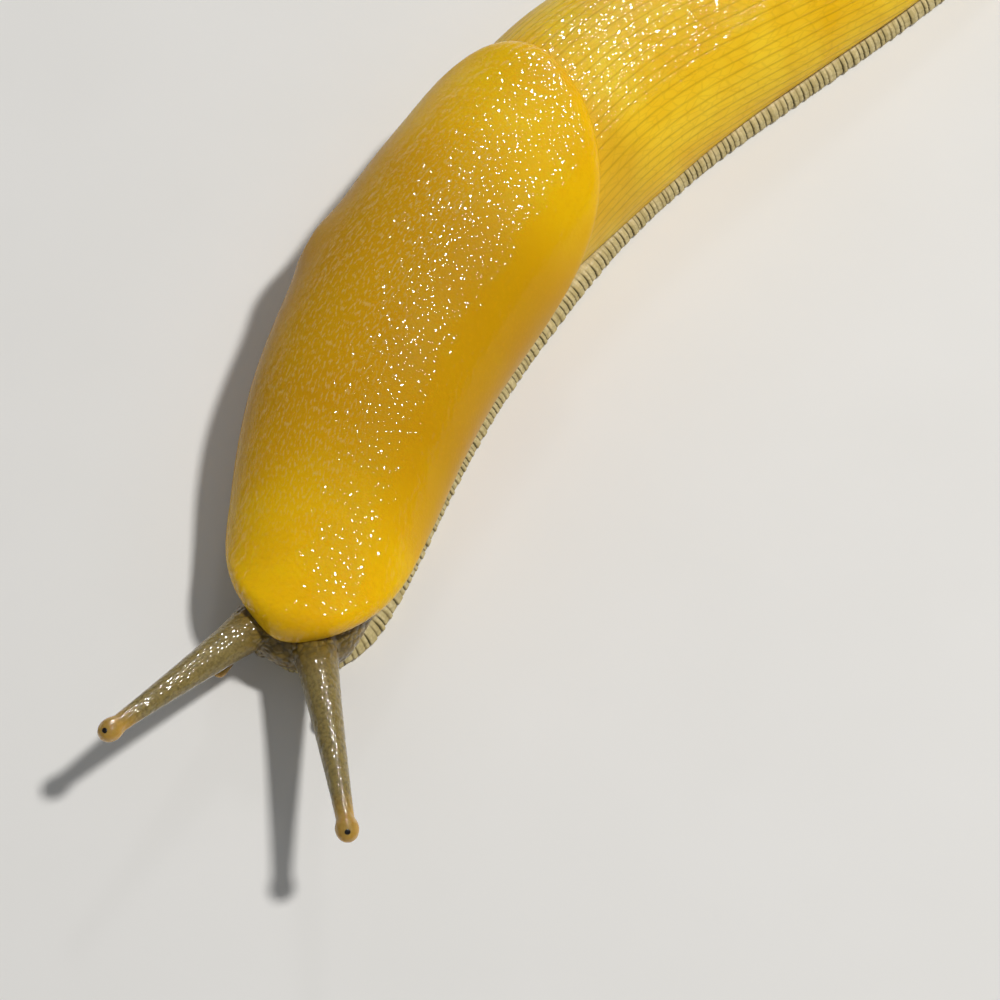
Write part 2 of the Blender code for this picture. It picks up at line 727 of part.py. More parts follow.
def make_mouth(head, head_room):
    """A slit in the snout and a lip at each side of it."""
    centre = Vector(world(0.6, 0.0, MOUTH_Z)) * MM
    forward = ahead(0.0, 0.0)
    across = forward.cross(Vector((0.0, 0.0, 1.0))).normalized()
    slit = ball_mesh("mouth_slit", centre, MOUTH_SIZES, across, 14, 10)
    cut(head, cutter("mouth_slit", slit))
    for side, sign in (("left", 1.0), ("right", -1.0)):
        at = Vector(world(1.3, sign * LIP_OUT, MOUTH_Z + 0.1)) * MM
        lip = finish(f"lip_{side}", ball_mesh(f"lip_{side}", at, LIP_SIZE, forward), "head_olive")
        cut(lip, head_room)


def main():
    for leftover in list(bpy.data.objects):
        bpy.data.objects.remove(leftover)
    head = make_body()
    make_foot()
    make_mantle()
    room_stations = rounded_stations(0.0, HEAD_END + 3.0, 16, tight_start=True)
    room_mesh = loft_mesh("head_room", body_rings(room_stations, 15, GAP))
    head_room = cutter("head_room", room_mesh)
    mantle_room = cutter("mantle_room", mantle_mesh("mantle_room", HOOD_GAP))
    for side in ("left", "right"):
        make_upper_tentacle(side, head_room, mantle_room)
        make_lower_tentacle(side, head_room)
    make_mouth(head, head_room)


main()
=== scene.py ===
# %% [markdown]
# A banana slug at life size, crawling with its tentacles out.
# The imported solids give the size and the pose.  This lesson lays a fine, wet skin over them.
# The frame is loaded first, and its box is kept so that the finished skin can be measured
# against it.

# %% Load the frame
import math

import bmesh
import bpy
import numpy as np
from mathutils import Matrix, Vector, noise

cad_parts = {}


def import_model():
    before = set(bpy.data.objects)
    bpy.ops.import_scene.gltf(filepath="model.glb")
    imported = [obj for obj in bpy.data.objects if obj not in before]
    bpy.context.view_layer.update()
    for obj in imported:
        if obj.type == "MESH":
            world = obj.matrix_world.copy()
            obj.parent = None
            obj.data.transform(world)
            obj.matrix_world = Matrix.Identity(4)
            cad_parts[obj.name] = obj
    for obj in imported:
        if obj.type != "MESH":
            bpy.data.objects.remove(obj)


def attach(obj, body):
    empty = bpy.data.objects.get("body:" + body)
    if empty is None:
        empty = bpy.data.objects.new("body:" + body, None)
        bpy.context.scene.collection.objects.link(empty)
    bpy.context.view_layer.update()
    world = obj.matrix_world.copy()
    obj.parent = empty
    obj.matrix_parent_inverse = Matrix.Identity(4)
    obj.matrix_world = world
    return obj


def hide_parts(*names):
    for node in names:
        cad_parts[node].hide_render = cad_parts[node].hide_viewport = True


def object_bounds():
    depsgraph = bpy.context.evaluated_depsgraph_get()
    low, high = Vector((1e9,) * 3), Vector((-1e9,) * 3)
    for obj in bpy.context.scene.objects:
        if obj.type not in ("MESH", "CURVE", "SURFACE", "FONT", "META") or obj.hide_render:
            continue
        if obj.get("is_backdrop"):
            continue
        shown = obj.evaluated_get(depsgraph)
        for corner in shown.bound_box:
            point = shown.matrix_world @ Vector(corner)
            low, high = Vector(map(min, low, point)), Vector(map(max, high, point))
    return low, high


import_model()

CAD_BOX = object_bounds()
MM = 0.001
print("solids span", [round((b - a) / MM, 1) for a, b in zip(*CAD_BOX)], "mm")

# %% [markdown]
# A slug has no straight edge to measure from, so each point of its skin is named by two numbers:
# how far it lies from the snout along the body, and how far round the body it is.  A row of
# unlike sections set on a bent line could be drawn by hand, but the same few sizes that shaped
# the solids shape this skin too, and so the two fit without any nudging.

# %% The line of the body on the floor
BODY_LENGTH = 179.0
SNOUT_X = 3.35
SNOUT_Y = -77.4
HEADING_AT_SNOUT = -11.5
# From, to, and how many degrees the line turns towards +X on the way.
BENDS = (
    (0.0, 15.0, -12.3),
    (11.0, 59.0, 24.5),
    (61.0, 93.0, 21.0),
    (109.0, 169.0, -20.0),
)
TABLE_STEP = 0.25


def ease(t):
    """0 to 1 with a soft start and end."""
    t = np.clip(t, 0.0, 1.0)
    return t * t * (3.0 - 2.0 * t)


def heading(s):
    """Direction of the body line at s, in radians from +Y towards +X."""
    turn = np.full_like(s, HEADING_AT_SNOUT)
    for start, end, degrees in BENDS:
        turn = turn + degrees * ease((s - start) / (end - start))
    return np.radians(turn)


LINE_S = np.arange(0.0, BODY_LENGTH + TABLE_STEP, TABLE_STEP)
MIDWAY = heading(LINE_S[:-1] + TABLE_STEP / 2.0)
LINE_X = SNOUT_X + np.concatenate([[0.0], np.cumsum(np.sin(MIDWAY)) * TABLE_STEP])
LINE_Y = SNOUT_Y + np.concatenate([[0.0], np.cumsum(np.cos(MIDWAY)) * TABLE_STEP])


def world(s, x, z):
    """The point x to the animal's left of the body line at s, and z above the floor."""
    s, x, z = np.broadcast_arrays(np.asarray(s, float), x, z)
    beyond = s - np.clip(s, 0.0, BODY_LENGTH)
    turn = heading(s - beyond)
    east = np.interp(s, LINE_S, LINE_X) + beyond * np.sin(turn) + x * np.cos(turn)
    north = np.interp(s, LINE_S, LINE_Y) + beyond * np.cos(turn) - x * np.sin(turn)
    return np.stack([east, north, z], axis=-1)


print("the tail ends at", [round(float(c), 1) for c in world(BODY_LENGTH, 0.0, 0.0)])

# %% [markdown]
# The body is widest behind the mantle, tapers to the tail, and its back turns from a round
# cushion into a keel on the way.  A loft through a dozen drawn sections could do this, but a
# table of half widths and heights with one rounded curve between them is easier to change.
# Every later skin asks this one surface where it lies.

# %% The sections of the body
# Place, half width and height of the ridge.
BODY_SIZES = np.array(
    [
        (0.0, 5.8, 8.2),
        (5.0, 6.5, 9.4),
        (15.0, 8.6, 12.6),
        (27.0, 10.1, 15.8),
        (42.0, 11.1, 17.8),
        (59.0, 11.7, 18.4),
        (77.0, 12.8, 17.8),
        (97.0, 11.2, 15.6),
        (119.0, 9.5, 12.6),
        (142.0, 7.0, 9.3),
        (162.0, 4.5, 6.3),
        (179.0, 2.2, 4.2),
    ]
)
HALF_WIDTHS = BODY_SIZES[:, [0, 1]]
RIDGE_HEIGHTS = BODY_SIZES[:, [0, 2]]
SNOUT_ROUND = 5.0
SNOUT_CENTRE_Z = 5.6
TAIL_ROUND = 4.0
TAIL_CENTRE_Z = 3.0
NECK_Z = 8.0
SLACK_UNTIL = 50.0
STEEP_FROM = 70.0
WAIST_SHARE = (0.36, 0.14)
TUCK = (1.6, 0.4)
TUCK_POWER = 1.8
TUCK_LIMIT = 0.3
TRUNK_ROUNDNESS = 2.15
TAIL_ROUNDNESS = 1.75
KEEL_FROM = 70.0
KEEL_FULL = 135.0
GROOVE_Z = 2.6
ROUND_STEPS = 96


def through(stations, s):
    """A smooth curve through a few (place, size) stations."""
    places, sizes = np.array(stations).T
    slopes = np.gradient(sizes, places)
    i = np.clip(np.searchsorted(places, s) - 1, 0, len(places) - 2)
    span = places[i + 1] - places[i]
    t = np.clip((s - places[i]) / span, 0.0, 1.0)
    rise = ease(t)
    start = slopes[i] * span * t * (1.0 - t) ** 2
    end = slopes[i + 1] * span * t**2 * (1.0 - t)
    return sizes[i] * (1.0 - rise) + sizes[i + 1] * rise + start - end


def round_end(distance, radius):
    """Share of full size at a distance from a rounded end."""
    left = 1.0 - np.clip(distance / radius, 0.0, 1.0)
    return np.sqrt(np.maximum(1.0 - left**2, 0.0))


def half_sections(s):
    """Dense half sections at each s, ridge first and groove last: x and z."""
    snout = round_end(s, SNOUT_ROUND)
    tail = round_end(BODY_LENGTH - s, TAIL_ROUND)
    keel = ease((s - KEEL_FROM) / (KEEL_FULL - KEEL_FROM))
    power = 2.0 / (TRUNK_ROUNDNESS + (TAIL_ROUNDNESS - TRUNK_ROUNDNESS) * keel)
    half = through(HALF_WIDTHS, s) * snout * tail
    low = GROOVE_Z + (SNOUT_CENTRE_Z - GROOVE_Z) * (1.0 - snout)
    top = through(RIDGE_HEIGHTS, s)
    top = SNOUT_CENTRE_Z + (top - SNOUT_CENTRE_Z) * snout
    top = TAIL_CENTRE_Z + (top - TAIL_CENTRE_Z) * tail
    steep = ease((s - SLACK_UNTIL) / (STEEP_FROM - SLACK_UNTIL))
    waist = low + (top - low) * (WAIST_SHARE[0] + (WAIST_SHARE[1] - WAIST_SHARE[0]) * steep)
    tuck = np.minimum(TUCK[0] + (TUCK[1] - TUCK[0]) * steep, TUCK_LIMIT * half)
    t = np.linspace(0.0, 1.0, ROUND_STEPS)
    angle = (1.0 - t) * math.pi / 2.0
    power = power[:, None]
    above_x = half[:, None] * np.cos(angle) ** power
    above_z = waist[:, None] + (top - waist)[:, None] * np.sin(angle) ** power
    down = t[1:]
    below_x = half[:, None] - tuck[:, None] * down**TUCK_POWER
    below_z = waist[:, None] - (waist - low)[:, None] * down
    return np.hstack([above_x, below_x]), np.hstack([above_z, below_z])


def surface_tables():
    """x, z, the outward direction and the girth of the body, in even steps of s and v."""
    v = np.linspace(0.0, 1.0, ROUND_STEPS)
    sections = np.stack(half_sections(LINE_S), axis=-1)
    tables = np.zeros((len(LINE_S), ROUND_STEPS, 4))
    girths = np.zeros(len(LINE_S))
    for i, points in enumerate(sections):
        steps = np.linalg.norm(np.diff(points, axis=0), axis=1)
        along = np.concatenate([[0.0], np.cumsum(steps)])
        girths[i] = along[-1]
        x, z = (np.interp(v * along[-1], along, points[:, k]) for k in (0, 1))
        out = np.stack([-np.gradient(z), np.gradient(x)], axis=-1)
        out /= np.maximum(np.linalg.norm(out, axis=1, keepdims=True), 1e-9)
        out[0] = (0.0, 1.0)
        tables[i] = np.column_stack([x, z, out])
    return tables, girths


SURFACE, GIRTH = surface_tables()


def girth_at(s):
    """Length over the skin from the ridge to the groove at s."""
    return np.interp(s, LINE_S, GIRTH)


def on_body(s, v, rise=0.0):
    """Points at s and v, where v is 0 on the ridge, 1 in the groove and negative on the right."""
    s, v, rise = np.broadcast_arrays(np.asarray(s, float), v, rise)
    row = np.clip(s / TABLE_STEP, 0.0, len(LINE_S) - 1.001)
    column = np.clip(np.abs(v) * (ROUND_STEPS - 1), 0.0, ROUND_STEPS - 1.001)
    i, j = row.astype(int), column.astype(int)
    a, b = (row - i)[..., None], (column - j)[..., None]
    near = SURFACE[i, j] * (1 - b) + SURFACE[i, j + 1] * b
    far = SURFACE[i + 1, j] * (1 - b) + SURFACE[i + 1, j + 1] * b
    x, z, out_x, out_z = np.moveaxis(near * (1 - a) + far * a, -1, 0)
    side = np.where(v < 0.0, -1.0, 1.0)
    return world(s, side * (x + out_x * rise), z + out_z * rise)


print("widest half girth of the body", round(float(GIRTH.max()), 1), "mm")

# %% [markdown]
# Large soft skins are made the same way throughout: a flat grid is added, every corner of it is
# moved to its place on the animal, and the edges that then touch are merged.  A grid keeps its
# rows and columns while it is wrapped, so the skin can be as fine as wanted where it shows and
# coarse where it is hidden.  Columns near a pole are drawn together in groups first, or
# hundreds of slivers would meet there.

# %% A grid wrapped round the animal
MERGE_WITHIN = 0.000001


def pick(*pieces):
    """Selects these pieces and nothing else, outside edit mode, and makes the last one active."""
    if bpy.context.mode != "OBJECT":
        bpy.ops.object.mode_set(mode="OBJECT")
    bpy.ops.object.select_all(action="DESELECT")
    for piece in pieces:
        piece.select_set(True)
        bpy.context.view_layer.objects.active = piece


def mark(piece, name, values):
    """Keeps a share or a place on every corner, for the paint to read."""
    kind, slot = ("FLOAT_VECTOR", "vector") if values.ndim == 2 else ("FLOAT", "value")
    piece.data.attributes.new(name, kind, "POINT")
    piece.data.attributes[name].data.foreach_set(slot, values.astype(np.float32).ravel())


def wrapped_grid(name, columns, rows, shape):
    """A grid whose corners go where shape(column, row) says, in mm, with marks on each corner."""
    pick()
    bpy.ops.mesh.primitive_grid_add(x_subdivisions=columns, y_subdivisions=rows, size=1.0)
    piece = bpy.context.object
    piece.name = name
    piece.data.name = name
    flat = np.empty(3 * len(piece.data.vertices))
    piece.data.vertices.foreach_get("co", flat)
    flat = flat.reshape(-1, 3)
    column = np.rint((flat[:, 0] + 0.5) * columns).astype(int)
    row = np.rint((flat[:, 1] + 0.5) * rows).astype(int)
    points, marks = shape(column, row)
    piece.data.vertices.foreach_set("co", (points * MM).ravel())
    for mark_name, values in marks.items():
        mark(piece, mark_name, values)
    bpy.ops.object.mode_set(mode="EDIT")
    bpy.ops.mesh.select_all(action="SELECT")
    bpy.ops.mesh.remove_doubles(threshold=MERGE_WITHIN)
    bpy.ops.mesh.normals_make_consistent(inside=False)
    bpy.ops.object.mode_set(mode="OBJECT")
    bpy.ops.object.shade_smooth()
    return piece


def drawn_together(column, group):
    """Column numbers with each group of neighbours moved onto its first."""
    return (column // group) * group


def group_sizes(rows_left, plan):
    """How many columns go together in each row, by the rows left until the pole."""
    sizes = np.ones_like(rows_left)
    for within, size in plan:
        sizes = np.where(rows_left <= within, size, sizes)
    return sizes


def report(piece):
    """Prints what a piece came to: its triangles and whether it is closed."""
    shape = bmesh.new()
    shape.from_mesh(piece.data)
    triangles = sum(len(face.verts) - 2 for face in shape.faces)
    open_edges = sum(1 for edge in shape.edges if not edge.is_manifold)
    shape.free()
    print(piece.name, triangles, "triangles,", open_edges, "open edges")


# %% [markdown]
# Living skin is never quite even.  Soft noise read at each corner gives gentle swellings,
# wobbling grooves and uneven folds.  Blender's own noise functions answer for one point at a
# time, so a small helper asks them for a whole row of points.

# %% Soft noise for many points
def soft_noise(points, size):
    """Noise from -1 to 1 with swellings about size across."""
    return np.array([noise.noise(Vector(p)) for p in points / size])


def cells(points, size):
    """Distances to the nearest and second nearest centre of cells about size across."""
    found = [noise.voronoi(Vector(p), distance_metric="DISTANCE")[0] for p in points / size]
    near = np.array([distances[:2] for distances in found]) * size
    return near[:, 0], near[:, 1]


print("noise at the snout", soft_noise(world(0.0, 0.0, 0.0)[None, :], 9.0).round(2))

# %% [markdown]
# The back and tail are one skin from under the mantle to the tip of the tail.  On the animal
# long shallow grooves run tailwards at even steps down from the ridge and hold water.  They
# could be a bump in the material, but they catch the light along their edges, so they are cut
# into the mesh.  Finer lines that link them are left to the paint.

# %% Grooves of the back
SKIN_FROM = 18.0
LANE = 1.22
LANE_WOBBLE = 0.05
GROOVE_HALF_WIDTH = 0.1
GROOVE_DEPTH = 0.055
WANDER_SIZES = (16.0, 5.0)
FINE_WANDER = 4.0
FADE_SIZE = 5.0
FADE = (0.9, 0.4)
LANES_APART = 3.7
SIDES_APART = 9.0


def grooves(s, down, side):
    """Share of full depth of the long grooves, some of which fade and come back."""
    wander = [s / WANDER_SIZES[0], down / WANDER_SIZES[1], side * SIDES_APART]
    wander = np.stack(wander, axis=-1)
    lane = down / LANE + LANE_WOBBLE * 3.0 * soft_noise(wander, 1.0)
    lane = lane + LANE_WOBBLE * soft_noise(wander * FINE_WANDER, 1.0)
    number = np.floor(lane)
    across = lane - number
    away = np.minimum(across, 1.0 - across) * LANE
    faint = [s / FADE_SIZE, np.rint(lane) * LANES_APART, side * SIDES_APART]
    faint = soft_noise(np.stack(faint, axis=-1), 1.0)
    share = np.clip(FADE[0] + FADE[1] * faint, 0.0, 1.0)
    return share * np.exp(-((away / GROOVE_HALF_WIDTH) ** 2))


print("grooves on each side:", int(GIRTH.max() / LANE))

# %% [markdown]
# Now the skin itself is wrapped.  Its rows lie half a millimetre apart where the tail shows
# and much further apart under the mantle, and its columns go once round the animal, with a
# few under the belly, which the foot hides.  Each corner keeps its place on the body and the
# depth of its groove as marks, and the paint reads them later.

# %% Skin of the back and tail
BACK_COLUMNS = 380
BELLY_COLUMNS = 12
BACK_STATIONS = np.concatenate(
    [
        np.linspace(SKIN_FROM, 62.0, 27),
        np.linspace(62.5, 172.0, 220),
        BODY_LENGTH - 7.0 * (1.0 - np.sin(np.linspace(0.08, 1.0, 16) * math.pi / 2.0)),
    ]
)
# Rows left until the pole, and how many columns go together there.
TIP_GROUPS = ((4, 4), (2, 20))
COVERED_UNTIL = 56.0
COVER_FADE = 8.0
THIN_TAIL = 22.0
TIP_DEPTH = 0.25
EDGE_SHARE = 0.06
SWELL = 0.10
SWELL_SIZES = (9.0, 6.0)
SLIME_PORE_FROM_TIP = 4.5
SLIME_PORE_SIZE = (1.3, 0.7)
SLIME_PORE_DEPTH = 0.7
SLIME_PORE_WALL = 1.6
TUCKED_IN = 0.6
TUCK_LENGTH = 4.0
BELLY_DROP = 0.6
BELLY_TUCK = 0.25


def belly_point(s, side, share):
    """Points under the body, from the groove (share 0) to the middle of the belly (share 1)."""
    edge_x = np.interp(s, LINE_S, SURFACE[:, -1, 0])
    edge_z = np.interp(s, LINE_S, SURFACE[:, -1, 1])
    tuck = np.clip(share / BELLY_TUCK, 0.0, 1.0)
    inwards = np.clip((1.0 - share) / (1.0 - BELLY_TUCK), 0.0, 1.0)
    x = (edge_x - BELLY_TUCK * edge_x * tuck) * inwards
    z = edge_z - BELLY_DROP * tuck
    return world(s, side * x, z)


def round_body(column, columns, belly):
    """v of each column, and the share of the way under the belly past the groove."""
    turn = (column / columns * 2.0 - 1.0) * columns / (columns - 2.0 * belly)
    side = np.where(turn < 0.0, -1.0, 1.0)
    under = (np.abs(turn) - 1.0) * (columns - 2.0 * belly) / (2.0 * belly)
    return np.clip(turn, -1.0, 1.0), side, np.clip(under, 0.0, 1.0)


def back_shape(column, row):
    """Corners of the back, with their place, the depth of the groove and the slime pore."""
    s = BACK_STATIONS[row]
    column = drawn_together(column, group_sizes(len(BACK_STATIONS) - 1 - row, TIP_GROUPS))
    v, side, under = round_body(column, BACK_COLUMNS, BELLY_COLUMNS)
    girth = girth_at(s)
    down = np.abs(v) * girth
    groove = grooves(s, down, side)
    covered = ease((s - COVERED_UNTIL) / COVER_FADE)
    thin_tail = ease((BODY_LENGTH - 1.0 - s) / THIN_TAIL)
    edge = ease((1.0 - np.abs(v)) / EDGE_SHARE)
    depth = GROOVE_DEPTH * groove * covered * edge
    depth = depth * (TIP_DEPTH + (1.0 - TIP_DEPTH) * thin_tail)
    place = np.stack([s / SWELL_SIZES[0], v * girth / SWELL_SIZES[1], side * 0.0], axis=-1)
    swell = SWELL * soft_noise(place, 1.0) * ease((BODY_LENGTH - s) / TAIL_ROUND)
    from_pore = s - (BODY_LENGTH - SLIME_PORE_FROM_TIP)
    pore = np.hypot(from_pore / SLIME_PORE_SIZE[0], down / SLIME_PORE_SIZE[1])
    pit = SLIME_PORE_DEPTH * np.exp(-(pore**2) * SLIME_PORE_WALL)
    tuck_in = TUCKED_IN * ease((SKIN_FROM + TUCK_LENGTH - s) / TUCK_LENGTH)
    points = on_body(s, v, edge * covered * swell - depth - pit - tuck_in)
    points = np.where((under > 0.0)[:, None], belly_point(s, side, under), points)
    first, last = row == 0, row == len(BACK_STATIONS) - 1
    for end, z in ((first, NECK_Z), (last, TAIL_CENTRE_Z)):
        points[end] = world(s[end], 0.0, z)
    marks = {
        "skin": np.stack([s, v * girth, under], axis=-1),
        "groove": groove * covered * edge,
        "pore": np.exp(-(pore**2)),
    }
    return points, marks


back = wrapped_grid("body_skin", BACK_COLUMNS, len(BACK_STATIONS) - 1, back_shape)
report(back)

# %% [markdown]
# The foot is a flat, muscular sole with a frilled edge.  The frill is a row of small rounded
# blocks of skin, less than a millimetre each, and every second or third furrow between them is
# dark.  One block could be modelled and repeated with an array, but it would have to be bent
# along the whole edge, so here too a long grid is wrapped: its columns run along the edge of
# the foot and its rows go from the sole round the rim and up into the groove.

# %% The edge of the foot
FOOT_FRONT = 1.2
FOOT_FRONT_ROUND = 7.5
FOOT_REAR_ROUND = 5.0
OUTLINE_SPLIT = 40.0
OUTLINE_STEPS = (400, 900)
# Place, and how far the foot stands out from the body.
FRINGE_FLARES = (
    (0.0, 0.3),
    (22.0, 1.4),
    (50.0, 1.4),
    (77.0, 0.5),
    (97.0, 0.9),
    (119.0, 0.8),
    (179.0, 0.8),
)
FOOT_PAST_TAIL = 0.6
BLOCK_PITCH = 0.86
BLOCK_VARIATION = 0.3
BLOCK_BULGE = 0.07
BLOCK_SEED = 11
BLOCK_TURN = 78.233
BLOCK_SHADE = 0.618
FAINT_FURROW = (0.1, 0.5)
DARK_FURROW = (0.8, 1.0)
FAINT_OR_DARK = (0.3, 0.7)
FIRST_FURROW = 0.4
FURROW_DEPTH = 0.2
FURROW_REACH = (0.55, 0.6)
FURROW_HALF_WIDTH = 0.085
INSET_LIMIT = (0.8, 0.05)
FOOT_COLUMNS = 4800
MIDLINE = 99.0
MIDLINE_INSET = 3.2
# Inset from the edge, height, share of the furrow, and columns drawn together.
FOOT_ROWS = (
    (MIDLINE, 0.0, 0.0, 16),
    (3.0, 0.0, 0.0, 16),
    (2.0, 0.0, 0.0, 4),
    (1.3, 0.0, 0.15, 1),
    (0.7, 0.06, 0.5, 1),
    (0.25, 0.22, 1.0, 1),
    (0.04, 0.42, 1.0, 1),
    (0.0, 0.66, 1.0, 1),
    (0.05, 0.92, 1.0, 1),
    (0.12, 1.1, 1.0, 1),
    (0.26, 1.22, 1.0, 1),
    (0.22, 1.42, 1.0, 1),
    (0.44, 1.7, 1.0, 1),
    (0.68, 1.93, 1.0, 1),
    (0.98, 2.12, 0.6, 1),
    (1.4, 2.26, 0.2, 1),
    (2.0, 2.24, 0.0, 4),
    (3.4, 2.2, 0.0, 16),
    (MIDLINE, 2.2, 0.0, 16),
)


def foot_outline():
    """The foot's edge in plan: place, half width and length along the edge."""
    near = 1.0 - np.cos(np.linspace(0.0, 1.0, OUTLINE_STEPS[0]) * math.pi / 2.0)
    far = np.sin(np.linspace(0.0, 1.0, OUTLINE_STEPS[1]) * math.pi / 2.0)[1:]
    front = FOOT_FRONT + (OUTLINE_SPLIT - FOOT_FRONT) * near
    rear = OUTLINE_SPLIT + (BODY_LENGTH + FOOT_PAST_TAIL - OUTLINE_SPLIT) * far
    s = np.concatenate([front, rear])
    place = np.clip(s, 0.0, BODY_LENGTH)
    half = through(HALF_WIDTHS, place) + through(FRINGE_FLARES, place)
    half = half * round_end(s - FOOT_FRONT, FOOT_FRONT_ROUND)
    half = half * round_end(BODY_LENGTH + FOOT_PAST_TAIL - s, FOOT_REAR_ROUND)
    steps = np.hypot(np.diff(s), np.diff(half))
    return s, half, np.concatenate([[0.0], np.cumsum(steps)])


OUTLINE_S, OUTLINE_HALF, OUTLINE_LENGTH = foot_outline()
TOTAL = OUTLINE_LENGTH[-1]
print("the foot's edge is", round(2.0 * TOTAL), "mm round")


def block_edges():
    """Furrows along the whole edge of the foot, and how dark each one is."""
    rng = np.random.default_rng(BLOCK_SEED)
    places, dark = [0.0], [FIRST_FURROW]
    while places[-1] < 2.0 * TOTAL:
        places.append(places[-1] + BLOCK_PITCH * (1.0 + BLOCK_VARIATION * rng.uniform(-1.0, 1.0)))
        shades = [rng.uniform(*FAINT_FURROW), rng.uniform(*DARK_FURROW)]
        dark.append(rng.choice(shades, p=FAINT_OR_DARK))
    return np.array(places), np.array(dark)


FURROWS, FURROW_DARK = block_edges()
print("the frill has", len(FURROWS) - 1, "blocks")

# %% [markdown]
# Every corner of the foot asks which block it belongs to and how far it is from the nearest
# furrow.  Near a furrow it is pushed inwards, and the rest of its block stands out or in a
# little, because no two blocks of the frill are alike.

# %% Skin of the foot
def foot_shape(column, row):
    """Corners of the foot, with their place, furrow, darkness and block."""
    inward, z, furrow_share, group = np.array(FOOT_ROWS)[row].T
    column = drawn_together(column % FOOT_COLUMNS, group.astype(int))
    around = column / FOOT_COLUMNS * 2.0 * TOTAL
    side = np.where(around <= TOTAL, 1.0, -1.0)
    along = np.where(around <= TOTAL, around, 2.0 * TOTAL - around)
    nearest = np.clip(np.searchsorted(FURROWS, around), 1, len(FURROWS) - 1)
    before, after = FURROWS[nearest - 1], FURROWS[nearest]
    across = (around - before) / (after - before)
    near_first = across < 0.5
    dark = np.where(near_first, FURROW_DARK[nearest - 1], FURROW_DARK[nearest])
    away = np.minimum(across, 1.0 - across) * (after - before)
    furrow = np.exp(-((away / FURROW_HALF_WIDTH) ** 2))
    depth = FURROW_DEPTH * furrow * (FURROW_REACH[0] + FURROW_REACH[1] * dark) * furrow_share
    block = np.where(near_first, nearest - 1, nearest)
    bulge = BLOCK_BULGE * np.sin((nearest * BLOCK_TURN) % 6.283) * furrow_share * (1.0 - furrow)
    place = np.interp(along, OUTLINE_LENGTH, OUTLINE_S)
    reach = np.interp(along, OUTLINE_LENGTH, OUTLINE_HALF)
    turn_s = np.interp(along, OUTLINE_LENGTH, np.gradient(OUTLINE_S, OUTLINE_LENGTH))
    turn_x = np.interp(along, OUTLINE_LENGTH, np.gradient(OUTLINE_HALF, OUTLINE_LENGTH))
    centre = inward == MIDLINE
    inset = np.where(centre, MIDLINE_INSET, inward) + depth - bulge
    inset = np.minimum(inset, INSET_LIMIT[0] * reach + INSET_LIMIT[1])
    at_s = place + turn_x * inset
    at_x = np.where(centre, 0.0, np.maximum(reach - turn_s * inset, 0.0))
    points = world(at_s, side * at_x, z)
    marks = {
        "furrow": furrow * furrow_share,
        "dark": furrow * furrow_share * dark,
        "skin": np.stack([around, inward, z], axis=-1),
        "block": (block * BLOCK_SHADE) % 1.0,
    }
    return points, marks


foot = wrapped_grid("foot_skin", FOOT_COLUMNS, len(FOOT_ROWS) - 1, foot_shape)
report(foot)

# %% [markdown]
# The mantle is the smooth shield over the front half of the back.  Its rim is a rounded lip
# that lies on the skin all round, and stands a little clear of it as a hood over the head.  It
# could be cut from the body, but on the animal it is a flap of its own, so its rings run from
# the middle out to the rim, round the lip and back in underneath.  The breathing hole is sunk
# into its right side.

# %% Shape of the mantle
MANTLE_CENTRE = 36.8
MANTLE_HALF_LENGTH = 35.2
MANTLE_DOWN_TO = 0.94
MANTLE_SQUARENESS = 2.05
MANTLE_FRONT_SQUARENESS = 2.3
MANTLE_REAR_SKEW = 6.5
MANTLE_FRONT_SKEW = -1.5
MANTLE_THICKNESS = 1.6
MANTLE_EDGE_ROUND = 2.4
HOOD_EXTRA = 1.0
HOOD_LIFT = 0.9
HOOD_LENGTH = 16.0
HOOD_FADE = 3.0
MANTLE_CLEARANCE = 0.42
BREATHING_HOLE_S = 43.0
BREATHING_HOLE_V = 0.63
BREATHING_HOLE_RIM = 3.2
BREATHING_HOLE_RAISE = 0.8
BREATHING_HOLE_PIT = 1.5
BREATHING_HOLE_SIZE = (1.25, 0.85)
BREATHING_HOLE_WALL = 0.7
# Height and width of the swells.
MANTLE_SWELLS = ((0.16, 11.0), (0.01, 2.1))
MANTLE_COLUMNS = 512
TOP_RINGS = 112
LIP_RINGS = 10
TUCK_RINGS = 7
UNDER_RINGS = 7
TOP_GROUPS = ((28, 2), (14, 4), (7, 8), (3, 16))
UNDER_GROUPS = ((7, 2), (6, 4), (5, 8), (3, 16))
LIP_UNDER = 1.2
SUNK_AT_LIP = 0.4
SUNK_DEEPER = 0.5
SUNK_LENGTH = 6.0


def mantle_reach(around):
    """How far the mantle's edge lies from its middle in s and v, for each direction."""
    c, d = np.cos(around), np.sin(around)
    power = 2.0 / np.where(c < 0.0, MANTLE_FRONT_SQUARENESS, MANTLE_SQUARENESS)
    reach_s = MANTLE_HALF_LENGTH * np.sign(c) * np.abs(c) ** power
    reach_v = MANTLE_DOWN_TO * np.sign(d) * np.abs(d) ** power
    skew = MANTLE_REAR_SKEW * np.maximum(c, 0.0) + MANTLE_FRONT_SKEW * np.maximum(-c, 0.0)
    reach_s = reach_s - skew * reach_v
    return reach_s, reach_v, np.hypot(reach_s, reach_v * girth_at(MANTLE_CENTRE))


def hood(s):
    """1 at the front edge of the mantle, falling to 0 over the hood."""
    return 1.0 - ease((s - (MANTLE_CENTRE - MANTLE_HALF_LENGTH)) / HOOD_LENGTH)


